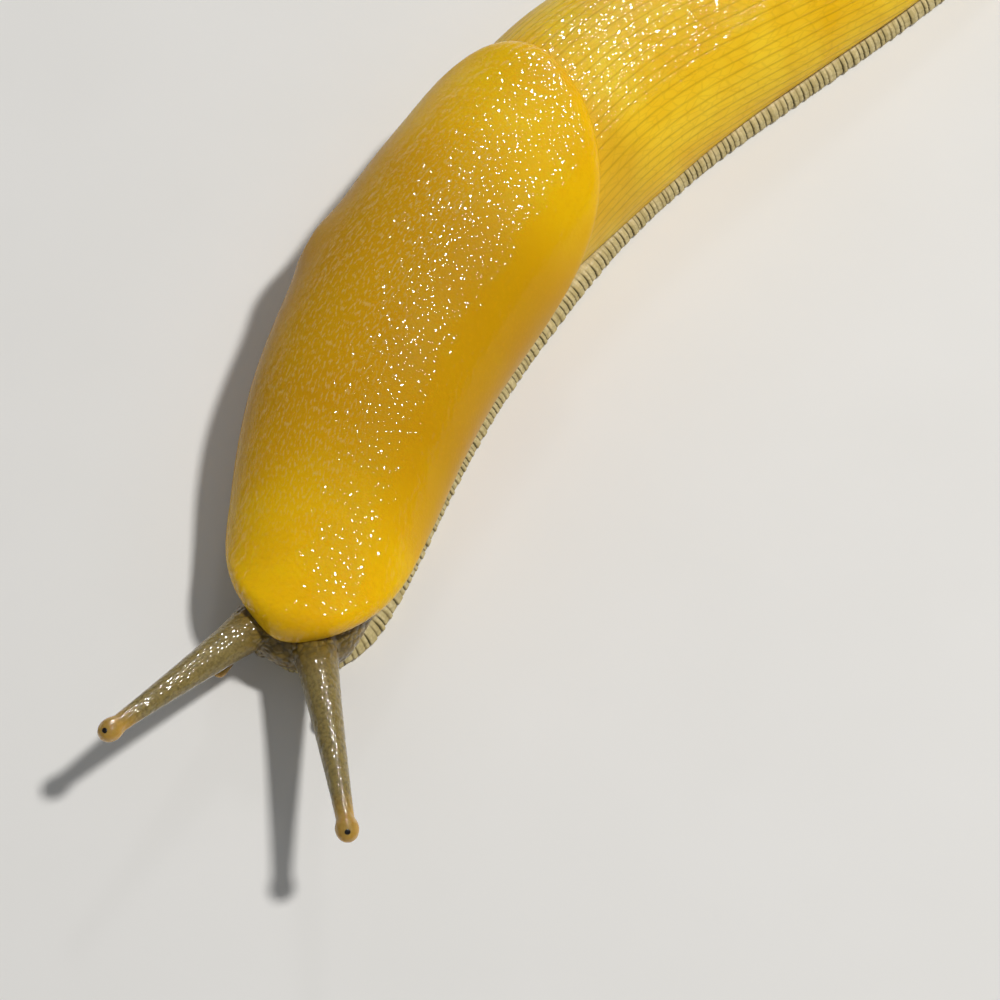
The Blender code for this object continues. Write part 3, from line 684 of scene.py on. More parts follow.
def mantle_shape(column, row):
    """Corners of the mantle, with their place and how near they are to the rim and the hole."""
    tops, lips, tucks = TOP_RINGS, TOP_RINGS + LIP_RINGS, TOP_RINGS + LIP_RINGS + TUCK_RINGS
    group = group_sizes(row, TOP_GROUPS)
    group = np.maximum(group, group_sizes(tucks + UNDER_RINGS - row, UNDER_GROUPS))
    around = drawn_together(column, group) * 2.0 * math.pi / MANTLE_COLUMNS
    reach_s, reach_v, radius = mantle_reach(around)
    angle = np.clip((row - tops) / LIP_RINGS, 0.0, 1.0) * math.pi / 2.0
    tuck = np.clip((row - lips) / TUCK_RINGS, 0.0, 1.0) * math.pi / 2.0
    below = np.clip((row - tucks) / UNDER_RINGS, 0.0, 1.0)
    inside = MANTLE_EDGE_ROUND * (1.0 - np.sin(angle))
    inside = np.where(row < tops, radius - (radius - MANTLE_EDGE_ROUND) * row / tops, inside)
    inside = np.where(row > lips, LIP_UNDER * (1.0 - np.cos(tuck)), inside)
    inside = np.where(row > tucks, LIP_UNDER + (radius - LIP_UNDER) * below, inside)
    ring = 1.0 - inside / radius
    s = MANTLE_CENTRE + ring * reach_s
    v = ring * reach_v
    girth = girth_at(s)
    raised = hood(s)
    under = MANTLE_CLEARANCE + HOOD_LIFT * raised * np.exp(-inside / HOOD_FADE)
    thick = (MANTLE_THICKNESS + HOOD_EXTRA * raised) * np.where(row <= tops, 1.0, np.cos(angle))
    hole_s, hole_v = s - BREATHING_HOLE_S, (v + BREATHING_HOLE_V) * girth
    rim = BREATHING_HOLE_RAISE * np.exp(-((np.hypot(hole_s, hole_v) / BREATHING_HOLE_RIM) ** 2))
    mouth = np.hypot(hole_s / BREATHING_HOLE_SIZE[0], hole_v / BREATHING_HOLE_SIZE[1])
    pit = np.exp(-(mouth**4) * BREATHING_HOLE_WALL)
    place = np.stack([s, v * girth, 0.0 * s], axis=-1)
    swell = sum(height * soft_noise(place, size) for height, size in MANTLE_SWELLS)
    swell = swell * ease(inside / MANTLE_EDGE_ROUND)
    top = under + thick + rim + swell - BREATHING_HOLE_PIT * pit
    lip_drop = MANTLE_CLEARANCE * np.sin(tuck)
    sunk = SUNK_AT_LIP + SUNK_DEEPER * ease(inside / SUNK_LENGTH)
    sunk = sunk * (1.0 - raised) * ease((inside - LIP_UNDER) / 2.0)
    bottom = under - lip_drop - sunk
    points = on_body(s, v, np.where(row <= lips, top, bottom))
    marks = {
        "skin": place,
        "inside": np.where(row <= lips, inside, 0.0),
        "hole": np.where(row <= lips, pit, 0.0),
    }
    return points, marks


mantle_rows = TOP_RINGS + LIP_RINGS + TUCK_RINGS + UNDER_RINGS
mantle = wrapped_grid("mantle_skin", MANTLE_COLUMNS, mantle_rows, mantle_shape)
report(mantle)

# %% [markdown]
# The head is soft flesh that the animal pumps out from under the hood.  Two long stalks carry
# the eyes, two short feelers taste the ground, and a lip lies at each side of the mouth.  Each
# is wrapped as a simple tapering tube or a ball first.  A voxel remesh then melts them into
# one skin, as clay would be joined, and smoothing softens the creases where they grow out.

# %% Tubes of the tentacles
SIDES = {"left": 1.0, "right": -1.0}
# Place, distance from the middle and height of each root.
UPPER_BASE = {"left": (3.0, 2.65, 6.85), "right": (3.0, 4.0, 6.85)}
UPPER_BASE_RADIUS = 2.3
UPPER_TIP_RADIUS = 0.9
UPPER_SPREAD = {"left": 34.6, "right": -21.8}
UPPER_LENGTH = {"left": 23.0, "right": 20.2}
UPPER_RISE = 15.0
UPPER_BOW = 1.2
ROOT_FLARE = 0.35
ROOT_FLARE_END = 0.12
TAPER = 1.15
KNOB_RADIUS = 1.22
KNOB_LONG = 1.15
KNOB_BLEND = 6
LOWER_BASE = {side: (2.4, 4.5, 3.35) for side in SIDES}
LOWER_SPREAD = {"left": 28.0, "right": -19.0}
LOWER_DROP = -2.0
LOWER_LENGTH = {side: 5.2 for side in SIDES}
LOWER_RADII = (0.85, 0.85, 0.75, 0.6, 0.66, 0.78, 0.76, 0.55, 0.22)
LOWER_SHARES = (-0.3, 0.1, 0.4, 0.66, 0.78, 0.9, 1.0, 1.08, 1.13)
TUBE_COLUMNS = 40


def ahead(spread, rise):
    """A unit direction from the snout: spread towards the animal's left, rise upwards."""
    turn = float(heading(np.array(0.0))) + math.pi - math.radians(spread)
    flat = math.cos(math.radians(rise))
    return np.array(
        [math.sin(turn) * flat, math.cos(turn) * flat, math.sin(math.radians(rise))]
    )


def stalk_radius(share):
    """The stalk swells at its root and narrows evenly to the knob."""
    root = ROOT_FLARE * np.exp(-share / ROOT_FLARE_END)
    narrowing = np.maximum(1.0 - share, 0.0) ** TAPER
    return UPPER_TIP_RADIUS + (UPPER_BASE_RADIUS - UPPER_TIP_RADIUS) * narrowing + root


def middle_line(side, bases, spreads, rise, lengths, bow):
    """A function that gives the point in the middle of a tentacle at a share of its length."""
    s, x, z = bases[side]
    base = world(s, SIDES[side] * x, z)
    way = ahead(spreads[side], rise)

    def at(share):
        share = np.asarray(share, float)[..., None]
        lift = bow * np.sin(math.pi * share * 0.5) * share
        return base + way * (lengths[side] * share) + np.array([0.0, 0.0, 1.0]) * lift

    return at


def upper_axis(side):
    """The middle line of an upper tentacle, which carries an eye and bows upwards."""
    return middle_line(side, UPPER_BASE, UPPER_SPREAD, UPPER_RISE, UPPER_LENGTH, UPPER_BOW)


def lower_axis(side):
    """The middle line of a feeler, which is straight."""
    return middle_line(side, LOWER_BASE, LOWER_SPREAD, LOWER_DROP, LOWER_LENGTH, 0.0)


def tube(name, at, shares, radii):
    """A tube of circles round the points at(share), closed to a point at both ends."""

    def shape(column, row):
        middle = at(shares[row])
        along = at(shares[row] + 0.01) - at(shares[row] - 0.01)
        along = along / np.linalg.norm(along, axis=1, keepdims=True)
        across = np.cross(along, [0.0, 0.0, 1.0])
        across = across / np.linalg.norm(across, axis=1, keepdims=True)
        up = np.cross(across, along)
        angle = (column / TUBE_COLUMNS * 2.0 * math.pi)[:, None]
        out = across * np.cos(angle) + up * np.sin(angle)
        return middle + out * radii[row][:, None], {}

    return wrapped_grid(name, TUBE_COLUMNS, len(shares) - 1, shape)


def upper_tentacle(side):
    """Stalk and knob as one tube."""
    length = UPPER_LENGTH[side]
    reach = KNOB_RADIUS * KNOB_LONG
    stalk = np.linspace(-0.06, 0.88, 60)
    knob = np.linspace(0.885, 1.0 + reach / length, 44)
    knob_radius = KNOB_RADIUS * np.sqrt(np.maximum(1.0 - ((knob - 1.0) * length / reach) ** 2, 0.0))
    neck_radius = np.where(knob < 1.0, stalk_radius(knob), 0.0)
    blended = (knob_radius**KNOB_BLEND + neck_radius**KNOB_BLEND) ** (1.0 / KNOB_BLEND)
    shares = np.concatenate([[-0.061], stalk, knob])
    radii = np.concatenate([[0.0], stalk_radius(stalk), blended])
    return tube(f"stalk_{side}", upper_axis(side), shares, radii)


def lower_tentacle(side):
    """A short feeler with a small round tip."""
    shares = np.linspace(LOWER_SHARES[0], LOWER_SHARES[-1], 30)
    radii = np.interp(shares, LOWER_SHARES, LOWER_RADII)
    radii[0] = 0.0
    radii[-1] = 0.0
    return tube(f"feeler_{side}", lower_axis(side), shares, radii)


print("a stalk is", round(2.0 * stalk_radius(0.0), 1), "mm wide at its root")

# %% [markdown]
# The front of the head uses the surface of the body again, closed at the snout and under the
# mantle.  Balls are added for the lips and flattened.  All of it is joined into one object,
# and the pieces still pass through each other at this point.

# %% The head itself
HEAD_TO = 24.0
HEAD_COLUMNS = 160
HEAD_BELLY = 10
HEAD_STATIONS = np.concatenate(
    [
        SNOUT_ROUND * (1.0 - np.cos(np.linspace(0.02, 1.0, 20) * math.pi / 2.0)),
        np.linspace(5.4, HEAD_TO, 46),
    ]
)
MOUTH_Z = 4.1
LIP_OUT = 2.7
LIP_SIZE = 1.15
LIP_S = 1.3
LIP_Z = MOUTH_Z + 0.1
LIP_FORM = (0.9, 1.0, 0.8)


def head_shape(column, row):
    """Corners of the head, which tucks in where the mantle covers it."""
    s = HEAD_STATIONS[row]
    v, side, under = round_body(column, HEAD_COLUMNS, HEAD_BELLY)
    sunk = TUCKED_IN * ease((s - HEAD_TO + TUCK_LENGTH) / TUCK_LENGTH)
    points = on_body(s, v, -sunk)
    points = np.where((under > 0.0)[:, None], belly_point(s, side, under), points)
    first, last = row == 0, row == len(HEAD_STATIONS) - 1
    points[first] = world(0.0, 0.0, SNOUT_CENTRE_Z)
    points[last] = world(HEAD_TO, 0.0, NECK_Z)
    return points, {}


def ball(name, centre, radius, segments, rings, turn, form):
    """A ball round a centre in mm, pressed into a form and turned."""
    pick()
    bpy.ops.mesh.primitive_uv_sphere_add(
        segments=segments, ring_count=rings, radius=radius * MM, location=Vector(centre) * MM
    )
    piece = bpy.context.object
    piece.name = name
    piece.data.name = name
    piece.rotation_euler = turn
    piece.scale = form
    bpy.ops.object.transform_apply(location=True, rotation=True, scale=True)
    return piece


def lip(side):
    """A soft ball pressed into the snout beside the mouth."""
    centre = world(LIP_S, SIDES[side] * LIP_OUT, LIP_Z)
    turn = (0.0, 0.0, -float(heading(np.array(0.0))))
    return ball(f"lip_ball_{side}", centre, LIP_SIZE, 24, 16, turn, LIP_FORM)


head = wrapped_grid("head_skin", HEAD_COLUMNS, len(HEAD_STATIONS) - 1, head_shape)
grown = [make(side) for make in (upper_tentacle, lower_tentacle, lip) for side in SIDES]
pick(*grown, head)
bpy.ops.object.join()
report(head)

# %% [markdown]
# A voxel remesh throws the old faces away and wraps one even skin round everything, a fifth
# of a millimetre to each face.  A light smoothing takes away its steps, and a stronger one,
# held by a vertex group, softens only the creases where the stalks grow out.

# %% One skin for the head
HEAD_VOXEL = 0.19
STALK_ROOT = 4.2
ROOT_SHARE = 0.2
ROOT_BLEND = 0.15


def apply_modifier(piece, kind, **settings):
    """Adds a modifier, sets it and applies it."""
    pick(piece)
    modifier = piece.modifiers.new(kind.title(), kind)
    for setting, value in settings.items():
        setattr(modifier, setting, value)
    bpy.ops.object.modifier_apply(modifier=modifier.name)


def corners_of(piece):
    """Every corner of a piece in mm, and the way the skin faces there."""
    mesh = piece.data
    places, normals = np.empty(3 * len(mesh.vertices)), np.empty(3 * len(mesh.vertices))
    mesh.vertices.foreach_get("co", places)
    mesh.vertices.foreach_get("normal", normals)
    return places.reshape(-1, 3) / MM, normals.reshape(-1, 3)


def along_tentacle(points, side):
    """Share of the way out along an upper tentacle, and distance from its middle."""
    at = upper_axis(side)
    shares = np.linspace(0.0, 1.1, 80)
    middles = at(shares)
    gaps = np.linalg.norm(points[:, None, :] - middles[None, :, :], axis=2)
    nearest = gaps.argmin(axis=1)
    return shares[nearest], gaps.min(axis=1)


apply_modifier(head, "REMESH", mode="VOXEL", voxel_size=HEAD_VOXEL * MM, adaptivity=0.0)
places, _ = corners_of(head)
crease = head.vertex_groups.new(name="creases")
root_share = np.zeros(len(places))
for side in SIDES:
    share, gap = along_tentacle(places, side)
    near_root = (gap < STALK_ROOT) & (share < ROOT_SHARE)
    root_share = np.maximum(root_share, near_root * ease((ROOT_SHARE - share) / ROOT_BLEND))
for index in np.nonzero(root_share > 0.02)[0]:
    crease.add([int(index)], float(root_share[index]), "REPLACE")
apply_modifier(head, "SMOOTH", factor=0.5, iterations=3)
apply_modifier(head, "SMOOTH", factor=0.5, iterations=14, vertex_group="creases")
report(head)

# %% [markdown]
# Skin on the head is a pavement of small raised cells, and on the stalks it is finely beaded.
# The cells are pushed in along their borders, corner by corner, and each corner also keeps
# four marks for the paint: how deep it lies between cells, whether it is on a stalk, how near
# to an eye knob it is, and how far inside the mouth.  The amber mark is weaker where the skin
# faces up, so besides the amber of the knobs and feeler tips it lays a painted glow of light
# shining through their sides and undersides.

# %% Cells of the head skin
HEAD_CELL = 0.95
HEAD_CELL_DEPTH = 0.09
STALK_CELL = 0.5
STALK_CELL_DEPTH = 0.018
MOUTH_HALF = (2.1, 0.42)
MOUTH_DEPTH = 1.3
MOUTH_BACK = -2.5
BORDER_WIDTH = 0.16
FINE_BORDER_WIDTH = 0.1
STALK_NEAR = 0.9
STALK_SKIN = (0.05, 0.2)
AMBER_KNOB = (0.8, 0.18)
AMBER_FEELER = (2.2, 1.6)
# How much less of the amber and its painted glow lies where the skin faces up.
GLOW_LESS_ON_TOP = 0.6

places, normals = corners_of(head)
stalk = np.zeros(len(places))
amber = np.zeros(len(places))
for side in SIDES:
    share, gap = along_tentacle(places, side)
    on_it = gap < stalk_radius(share) + STALK_NEAR
    stalk = np.maximum(stalk, on_it * ease((share - STALK_SKIN[0]) / STALK_SKIN[1]))
    amber = np.maximum(amber, on_it * ease((share - AMBER_KNOB[0]) / AMBER_KNOB[1]))
    from_tip = np.linalg.norm(places - lower_axis(side)(1.0), axis=1)
    amber = np.maximum(amber, ease((AMBER_FEELER[0] - from_tip) / AMBER_FEELER[1]))
# Painted glow: the amber share is cut where the skin faces up, so the sides and undersides of the
# knobs and feeler tips look lit by light shining through.
amber = amber * (1.0 - GLOW_LESS_ON_TOP * np.clip(normals[:, 2], 0.0, 1.0))
near, second = cells(places, HEAD_CELL)
border = np.exp(-(((second - near) / BORDER_WIDTH) ** 2))
near, second = cells(places, STALK_CELL)
fine_border = np.exp(-(((second - near) / FINE_BORDER_WIDTH) ** 2))
depth = HEAD_CELL_DEPTH * border * (1.0 - stalk) + STALK_CELL_DEPTH * fine_border * stalk
depth = depth * (1.0 - np.minimum(1.6 * amber, 1.0))
forward = ahead(0.0, 0.0)
aside = np.cross(forward, [0.0, 0.0, 1.0])
from_mouth = places - world(0.0, 0.0, MOUTH_Z)
slit = np.hypot((from_mouth @ aside) / MOUTH_HALF[0], from_mouth[:, 2] / MOUTH_HALF[1])
slit = np.exp(-(slit**2)) * (from_mouth @ forward > MOUTH_BACK)
moved = places - normals * depth[:, None] - forward * (MOUTH_DEPTH * slit)[:, None]
head.data.vertices.foreach_set("co", (moved * MM).ravel())
seams = border * (1.0 - stalk)
for mark_name, values in (("groove", seams), ("stalk", stalk), ("amber", amber), ("mouth", slit)):
    mark(head, mark_name, values)
head.data.update()
pick(head)
bpy.ops.object.shade_smooth()
report(head)

# %% [markdown]
# Each eye is a black dot hardly wider than half a millimetre, just under the clear skin near
# the end of its knob.  A dark patch of paint would do from afar, but up close the eye bulges.
# So a ball is added at that place, flattened along the way it looks and half sunk in the knob.

# %% Eyes
EYE_RADIUS = 0.33
EYE_SUNK = 0.04
EYE_FORWARD = 0.75
EYE_FORM = (1.0, 1.0, 0.55)


def eye(side):
    """A low black dome on top of the knob."""
    at = upper_axis(side)
    along = at(1.0) - at(0.9)
    along = along / np.linalg.norm(along)
    look = along * EYE_FORWARD + np.array([0.0, 0.0, 1.0])
    look = Vector(look / np.linalg.norm(look))
    centre = Vector(at(1.0)) + look * (KNOB_RADIUS - EYE_SUNK)
    turn = look.to_track_quat("Z", "Y").to_euler()
    dot = ball(f"eye_dot_{side}", centre, EYE_RADIUS, 32, 20, turn, EYE_FORM)
    bpy.ops.object.shade_smooth()
    report(dot)
    return dot


eyes = {side: eye(side) for side in SIDES}

# %% [markdown]
# Colours are written as they look on a screen and turned to the linear values that a shader
# works with.  One helper adds a node, sets it and links it.  The others read the marks on a
# skin, lay its paints one over another and set the shader, so each material below reads as a
# list of what the skin does.

# %% Colour and node helpers
def paint(code):
    """A linear colour from a screen colour such as F2C200."""
    screen = [int(code[i : i + 2], 16) / 255.0 for i in (0, 2, 4)]
    linear = [c / 12.92 if c <= 0.04045 else ((c + 0.055) / 1.055) ** 2.4 for c in screen]
    return (*linear, 1.0)


def new_material(name):
    """A material, and the tree and shader that it holds."""
    material = bpy.data.materials.new(name)
    material.use_nodes = True
    return material, material.node_tree, material.node_tree.nodes["Principled BSDF"]


def add(tree, kind, inputs, **settings):
    """A node with its settings, whose inputs are values or other nodes' outputs."""
    node = tree.nodes.new(kind)
    for setting, value in settings.items():
        setattr(node, setting, value)
    for name, value in inputs.items():
        if isinstance(value, bpy.types.NodeSocket):
            tree.links.new(value, node.inputs[name])
        else:
            node.inputs[name].default_value = value
    return node


def marks_of(tree, *names):
    """What the corners of a skin are marked with: a place for skin, and a share for the rest."""
    found = [add(tree, "ShaderNodeAttribute", {}, attribute_name=name) for name in names]
    return [node.outputs["Vector" if node.attribute_name == "skin" else "Fac"] for node in found]


def paint_skin(tree, shader, lowest, layers):
    """Lays each colour over those before it, where its share says, and gives them to the shader."""
    under = paint(lowest)
    for share, colour in layers:
        over = paint(colour) if isinstance(colour, str) else colour
        inputs = {"Factor": share, "A": under, "B": over}
        under = add(tree, "ShaderNodeMix", inputs, data_type="RGBA").outputs["Result"]
    tree.links.new(under, shader.inputs["Base Color"])


def settle(shader, **numbers):
    """Sets numbers on the shader's own sockets, such as Coat_IOR for the socket Coat IOR."""
    for name, value in numbers.items():
        shader.inputs[name.replace("_", " ")].default_value = value


def wear(piece, material):
    """Puts one material on the whole of a piece."""
    piece.data.materials.clear()
    piece.data.materials.append(material)
    print(piece.name, "wears", material.name)


print("the screen colour FFFFFF is", paint("FFFFFF")[:3], "to a shader")

# %% [markdown]
# Slug skin is wet flesh: pigment in the outer layer, a little light that sinks in and glows
# back, and mucus over beads of skin.  One low roughness would give a single long highlight.
# Here a clear coat lies over domes just under a millimetre across, and each dome that tilts
# the right way mirrors a lamp as one white spark.  Towards the flanks, where the mucus drains
# off, the coat gets thinner and calmer.

# %% The film of mucus
BEAD_STRETCH = (1.15, 1.6, 1.0)
RIPPLE_SCALE = 3.0
RIPPLE_DEPTH = 0.12
PATCH_SCALE = 0.42
PATCH_DEPTH = -2.0
FILM_DEPTH = 0.0002
FLANK_FROM = 5.0
FLANK_FULL = 12.5
FLANK_CALM = 0.02
FILM_ON_TOP = 0.7
FILM_ON_FLANK = 0.3
PORE_SCALE = 2.4
SKIN_ROUGHNESS = 0.45
WET_ROUGHNESS = 0.06
FINE_RELIEF = 0.0001
FLESH_IOR = 1.38
GLOW_DEPTH = 0.0006


def mucus_film(tree, shader, skin):
    """A coat of small domes, which lies thinner and calmer on the flanks."""
    parts = add(tree, "ShaderNodeSeparateXYZ", {"Vector": skin})
    down = add(tree, "ShaderNodeMath", {0: parts.outputs["Y"]}, operation="ABSOLUTE")
    calm, thickness = (
        add(
            tree,
            "ShaderNodeMapRange",
            {
                "Value": down.outputs["Value"],
                "From Min": FLANK_FROM,
                "From Max": FLANK_FULL,
                "To Min": on_top,
                "To Max": on_flank,
            },
            interpolation_type="SMOOTHSTEP",
        ).outputs["Result"]
        for on_top, on_flank in ((1.0, FLANK_CALM), (FILM_ON_TOP, FILM_ON_FLANK))
    )
    beads = add(tree, "ShaderNodeMapping", {"Vector": skin, "Scale": BEAD_STRETCH})
    place = beads.outputs["Vector"]
    bead = add(tree, "ShaderNodeTexVoronoi", {"Vector": place, "Scale": 1.0})
    away = bead.outputs["Distance"]
    height = add(tree, "ShaderNodeMath", {0: away, 1: away}, operation="MULTIPLY")
    for vector, scale, detail, depth in (
        (skin, PATCH_SCALE, 1.0, PATCH_DEPTH),
        (place, RIPPLE_SCALE, 0.0, RIPPLE_DEPTH),
    ):
        wave = {"Vector": vector, "Scale": scale, "Detail": detail}
        wave = add(tree, "ShaderNodeTexNoise", wave).outputs["Fac"]
        summed = {0: wave, 1: depth, 2: height.outputs["Value"]}
        height = add(tree, "ShaderNodeMath", summed, operation="MULTIPLY_ADD")
    domes = {"Height": height.outputs["Value"], "Strength": calm, "Distance": FILM_DEPTH}
    film = add(tree, "ShaderNodeBump", domes, invert=True)
    tree.links.new(thickness, shader.inputs["Coat Weight"])
    tree.links.new(film.outputs["Normal"], shader.inputs["Coat Normal"])
    settle(shader, Coat_Roughness=WET_ROUGHNESS, Coat_IOR=1.42)


def wet_flesh(tree, shader, skin, glow):
    """Finely pored flesh under mucus, whose glow says how far red, green and blue light sink in."""
    pores = add(tree, "ShaderNodeTexNoise", {"Vector": skin, "Scale": PORE_SCALE, "Detail": 2.0})
    relief = {"Height": pores.outputs["Fac"], "Strength": 0.3, "Distance": FINE_RELIEF}
    pored = add(tree, "ShaderNodeBump", relief)
    tree.links.new(pored.outputs["Normal"], shader.inputs["Normal"])
    mucus_film(tree, shader, skin)
    settle(shader, Roughness=SKIN_ROUGHNESS, IOR=FLESH_IOR, Specular_IOR_Level=0.03)
    settle(shader, Subsurface_Weight=0.15, Subsurface_Radius=glow, Subsurface_Scale=GLOW_DEPTH)


print("the film's domes are about", round(1.0 / BEAD_STRETCH[0], 2), "mm long")

# %% [markdown]
# The mantle is chrome yellow, with soft clouds of colour a centimetre wide.  Its middle is
# painted a little deeper and browner, as painted shade, and pale fine streaks along its top
# are a painted sheen of light on the wrinkled mucus.  The breathing hole is painted nearly
# black, as painted shade in its pit.  Each paint is a share from noise or from the marks, laid
# over the last one.

# %% Paint of the mantle
# Middle of each zone, and how far from there it stays full and fades to nothing.
# Painted shade: the middle of the mantle is painted deeper and browner, where less light falls.
MIDDLE_SHADE = (MANTLE_CENTRE, 8.0, 31.0)
MIDDLE_SHADE_SHARE = 0.75
# Painted sheen: pale streaks along the top stand in for light glancing off wrinkles in the mucus.
SHEEN_ALONG = (MANTLE_CENTRE, 14.0, 32.0)
SHEEN_ACROSS = (-4.0, 3.0, 8.5)
SHEEN_SHARE = 0.3
SHEEN_STRETCH = (1.6, 4.2, 1.0)
# Scale, detail, where each patchy paint starts and is full, and the most of it.
CLOUDS = (0.09, 3.0, 0.35, 0.65, 1.0)
SPECKS = (2.2, 2.0, 0.5, 0.75, 0.3)
SHEEN_STREAKS = (1.0, 2.0, 0.52, 0.66)


def zone_share(tree, value, middle, near, far, most):
    """The most within near of a middle, which falls softly to nothing at far."""
    away = add(tree, "ShaderNodeMath", {0: value, 1: middle}, operation="SUBTRACT")
    away = add(tree, "ShaderNodeMath", {0: away.outputs["Value"]}, operation="ABSOLUTE")
    fade = {"Value": away.outputs["Value"], "From Min": near, "From Max": far}
    fade = fade | {"To Min": most, "To Max": 0.0}
    fade = add(tree, "ShaderNodeMapRange", fade, interpolation_type="SMOOTHSTEP")
    return fade.outputs["Result"]


def noise_share(tree, vector, scale, detail, low, high, most):
    """Soft patches of noise, from nothing where it is under low to the most where over high."""
    patches = {"Vector": vector, "Scale": scale, "Detail": detail}
    patches = add(tree, "ShaderNodeTexNoise", patches).outputs["Fac"]
    spread = {"Value": patches, "From Min": low, "From Max": high, "To Max": most}
    return add(tree, "ShaderNodeMapRange", spread).outputs["Result"]


def mantle_material():
    """Smooth wet mantle skin: chrome yellow, faint clouds, painted shade and sheen, beaded sparks.
    """
    material, tree, shader = new_material("wet_mantle_skin")
    skin, inside, hole = marks_of(tree, "skin", "inside", "hole")
    place = add(tree, "ShaderNodeSeparateXYZ", {"Vector": skin}).outputs
    middle_shade = zone_share(tree, place["X"], *MIDDLE_SHADE, MIDDLE_SHADE_SHARE)
    painted_sheen = zone_share(tree, place["X"], *SHEEN_ALONG, SHEEN_SHARE)
    painted_sheen = zone_share(tree, place["Y"], *SHEEN_ACROSS, painted_sheen)
    long = add(tree, "ShaderNodeMapping", {"Vector": skin, "Scale": SHEEN_STRETCH})
    edge = {"Value": inside, "From Min": 0.0, "From Max": 0.9, "To Min": 0.2, "To Max": 0.0}
    layers = (
        (noise_share(tree, skin, *CLOUDS), "FAC600"),
        # Painted shade in the middle of the mantle.
        (middle_shade, "B88200"),
        (noise_share(tree, skin, *SPECKS), "DDA000"),
        # Painted sheen of pale streaks along the top of the mantle.
        (noise_share(tree, long.outputs["Vector"], *SHEEN_STREAKS, painted_sheen), "E6CA8A"),
        (add(tree, "ShaderNodeMapRange", edge).outputs["Result"], "D8AE3A"),
        # Painted shade: the breathing hole is painted nearly black inside its pit.
        (hole, "3A2A0C"),
    )
    paint_skin(tree, shader, "F2B600", layers)
    wet_flesh(tree, shader, skin, (1.0, 0.5, 0.1))
    return material


wear(mantle, mantle_material())

# %% [markdown]
# The back is a lighter yellow, and greyer just behind the mantle, where the skin is thin.  The
# grooves hold ochre, and fine slanting lines join them like the joints of long tiles.  The
# lines could be cut too, but at a tenth of a millimetre paint is enough.

# %% Paint of the back and tail
PALE_UNTIL = 69.0
PALE_NONE = 76.0
TILE_TURN = 0.4
TILE_STRETCH = (0.45, 1.3, 1.0)
TILE_LINE = 0.09
BACK_CLOUDS = (0.11, 3.0, 0.35, 0.65, 1.0)


def back_material():
    """Grooved back skin: yellow tiles, ochre in the grooves, and a pale zone behind the mantle."""
    material, tree, shader = new_material("wet_grooved_skin")
    skin, groove, pore = marks_of(tree, "skin", "groove", "pore")
    place = add(tree, "ShaderNodeSeparateXYZ", {"Vector": skin}).outputs
    pale = {"Value": place["X"], "From Min": PALE_UNTIL, "From Max": PALE_NONE}
    pale = pale | {"To Min": 0.4, "To Max": 0.0}
    pale = add(tree, "ShaderNodeMapRange", pale, interpolation_type="SMOOTHSTEP")
    ochre = add(tree, "ShaderNodeMath", {0: groove, 1: 0.5}, operation="MULTIPLY")
    slant = {"Vector": skin, "Rotation": (0.0, 0.0, TILE_TURN), "Scale": TILE_STRETCH}
    slant = {"Vector": add(tree, "ShaderNodeMapping", slant).outputs["Vector"], "Scale": 1.0}
    tiles = add(tree, "ShaderNodeTexVoronoi", slant, feature="DISTANCE_TO_EDGE")
    line = {"Value": tiles.outputs["Distance"], "From Min": 0.0, "From Max": TILE_LINE}
    line = add(tree, "ShaderNodeMapRange", line | {"To Min": 0.22, "To Max": 0.0})
    layers = (
        (noise_share(tree, skin, *BACK_CLOUDS), "FCD02C"),
        (pale.outputs["Result"], "D4AC34"),
        (ochre.outputs["Value"], "A87C0A"),
        (line.outputs["Result"], "BE8E0C"),
        # Painted shade: the slime pore near the tail tip is painted dark brown inside its pit.
        (pore, "4A3A14"),
    )
    paint_skin(tree, shader, "F2BA12", layers)
    wet_flesh(tree, shader, skin, (1.0, 0.55, 0.15))
    return material


wear(back, back_material())

# %% [markdown]
# The head is olive brown, with dark seams between its cells.  The stalks are thin enough for
# light to pass into them, so theirs is a greyer skin with a fine grain, and the flesh turns
# to clear amber at the eye knobs.  Their wet beads are smaller than those of the back.  The
# amber is painted stronger on the sides and undersides of the knobs, a painted glow of light
# shining through them, and the mouth is painted nearly black, as painted shade.

# %% Paint of the head
BEADS_PER_METRE = 1400.0
BEAD_HEIGHT = 0.00013
STALK_GRAIN = (2600.0, 2.0, 0.42, 0.68, 0.6)
THIN_GLOW = (1.0, 0.7, 0.25)


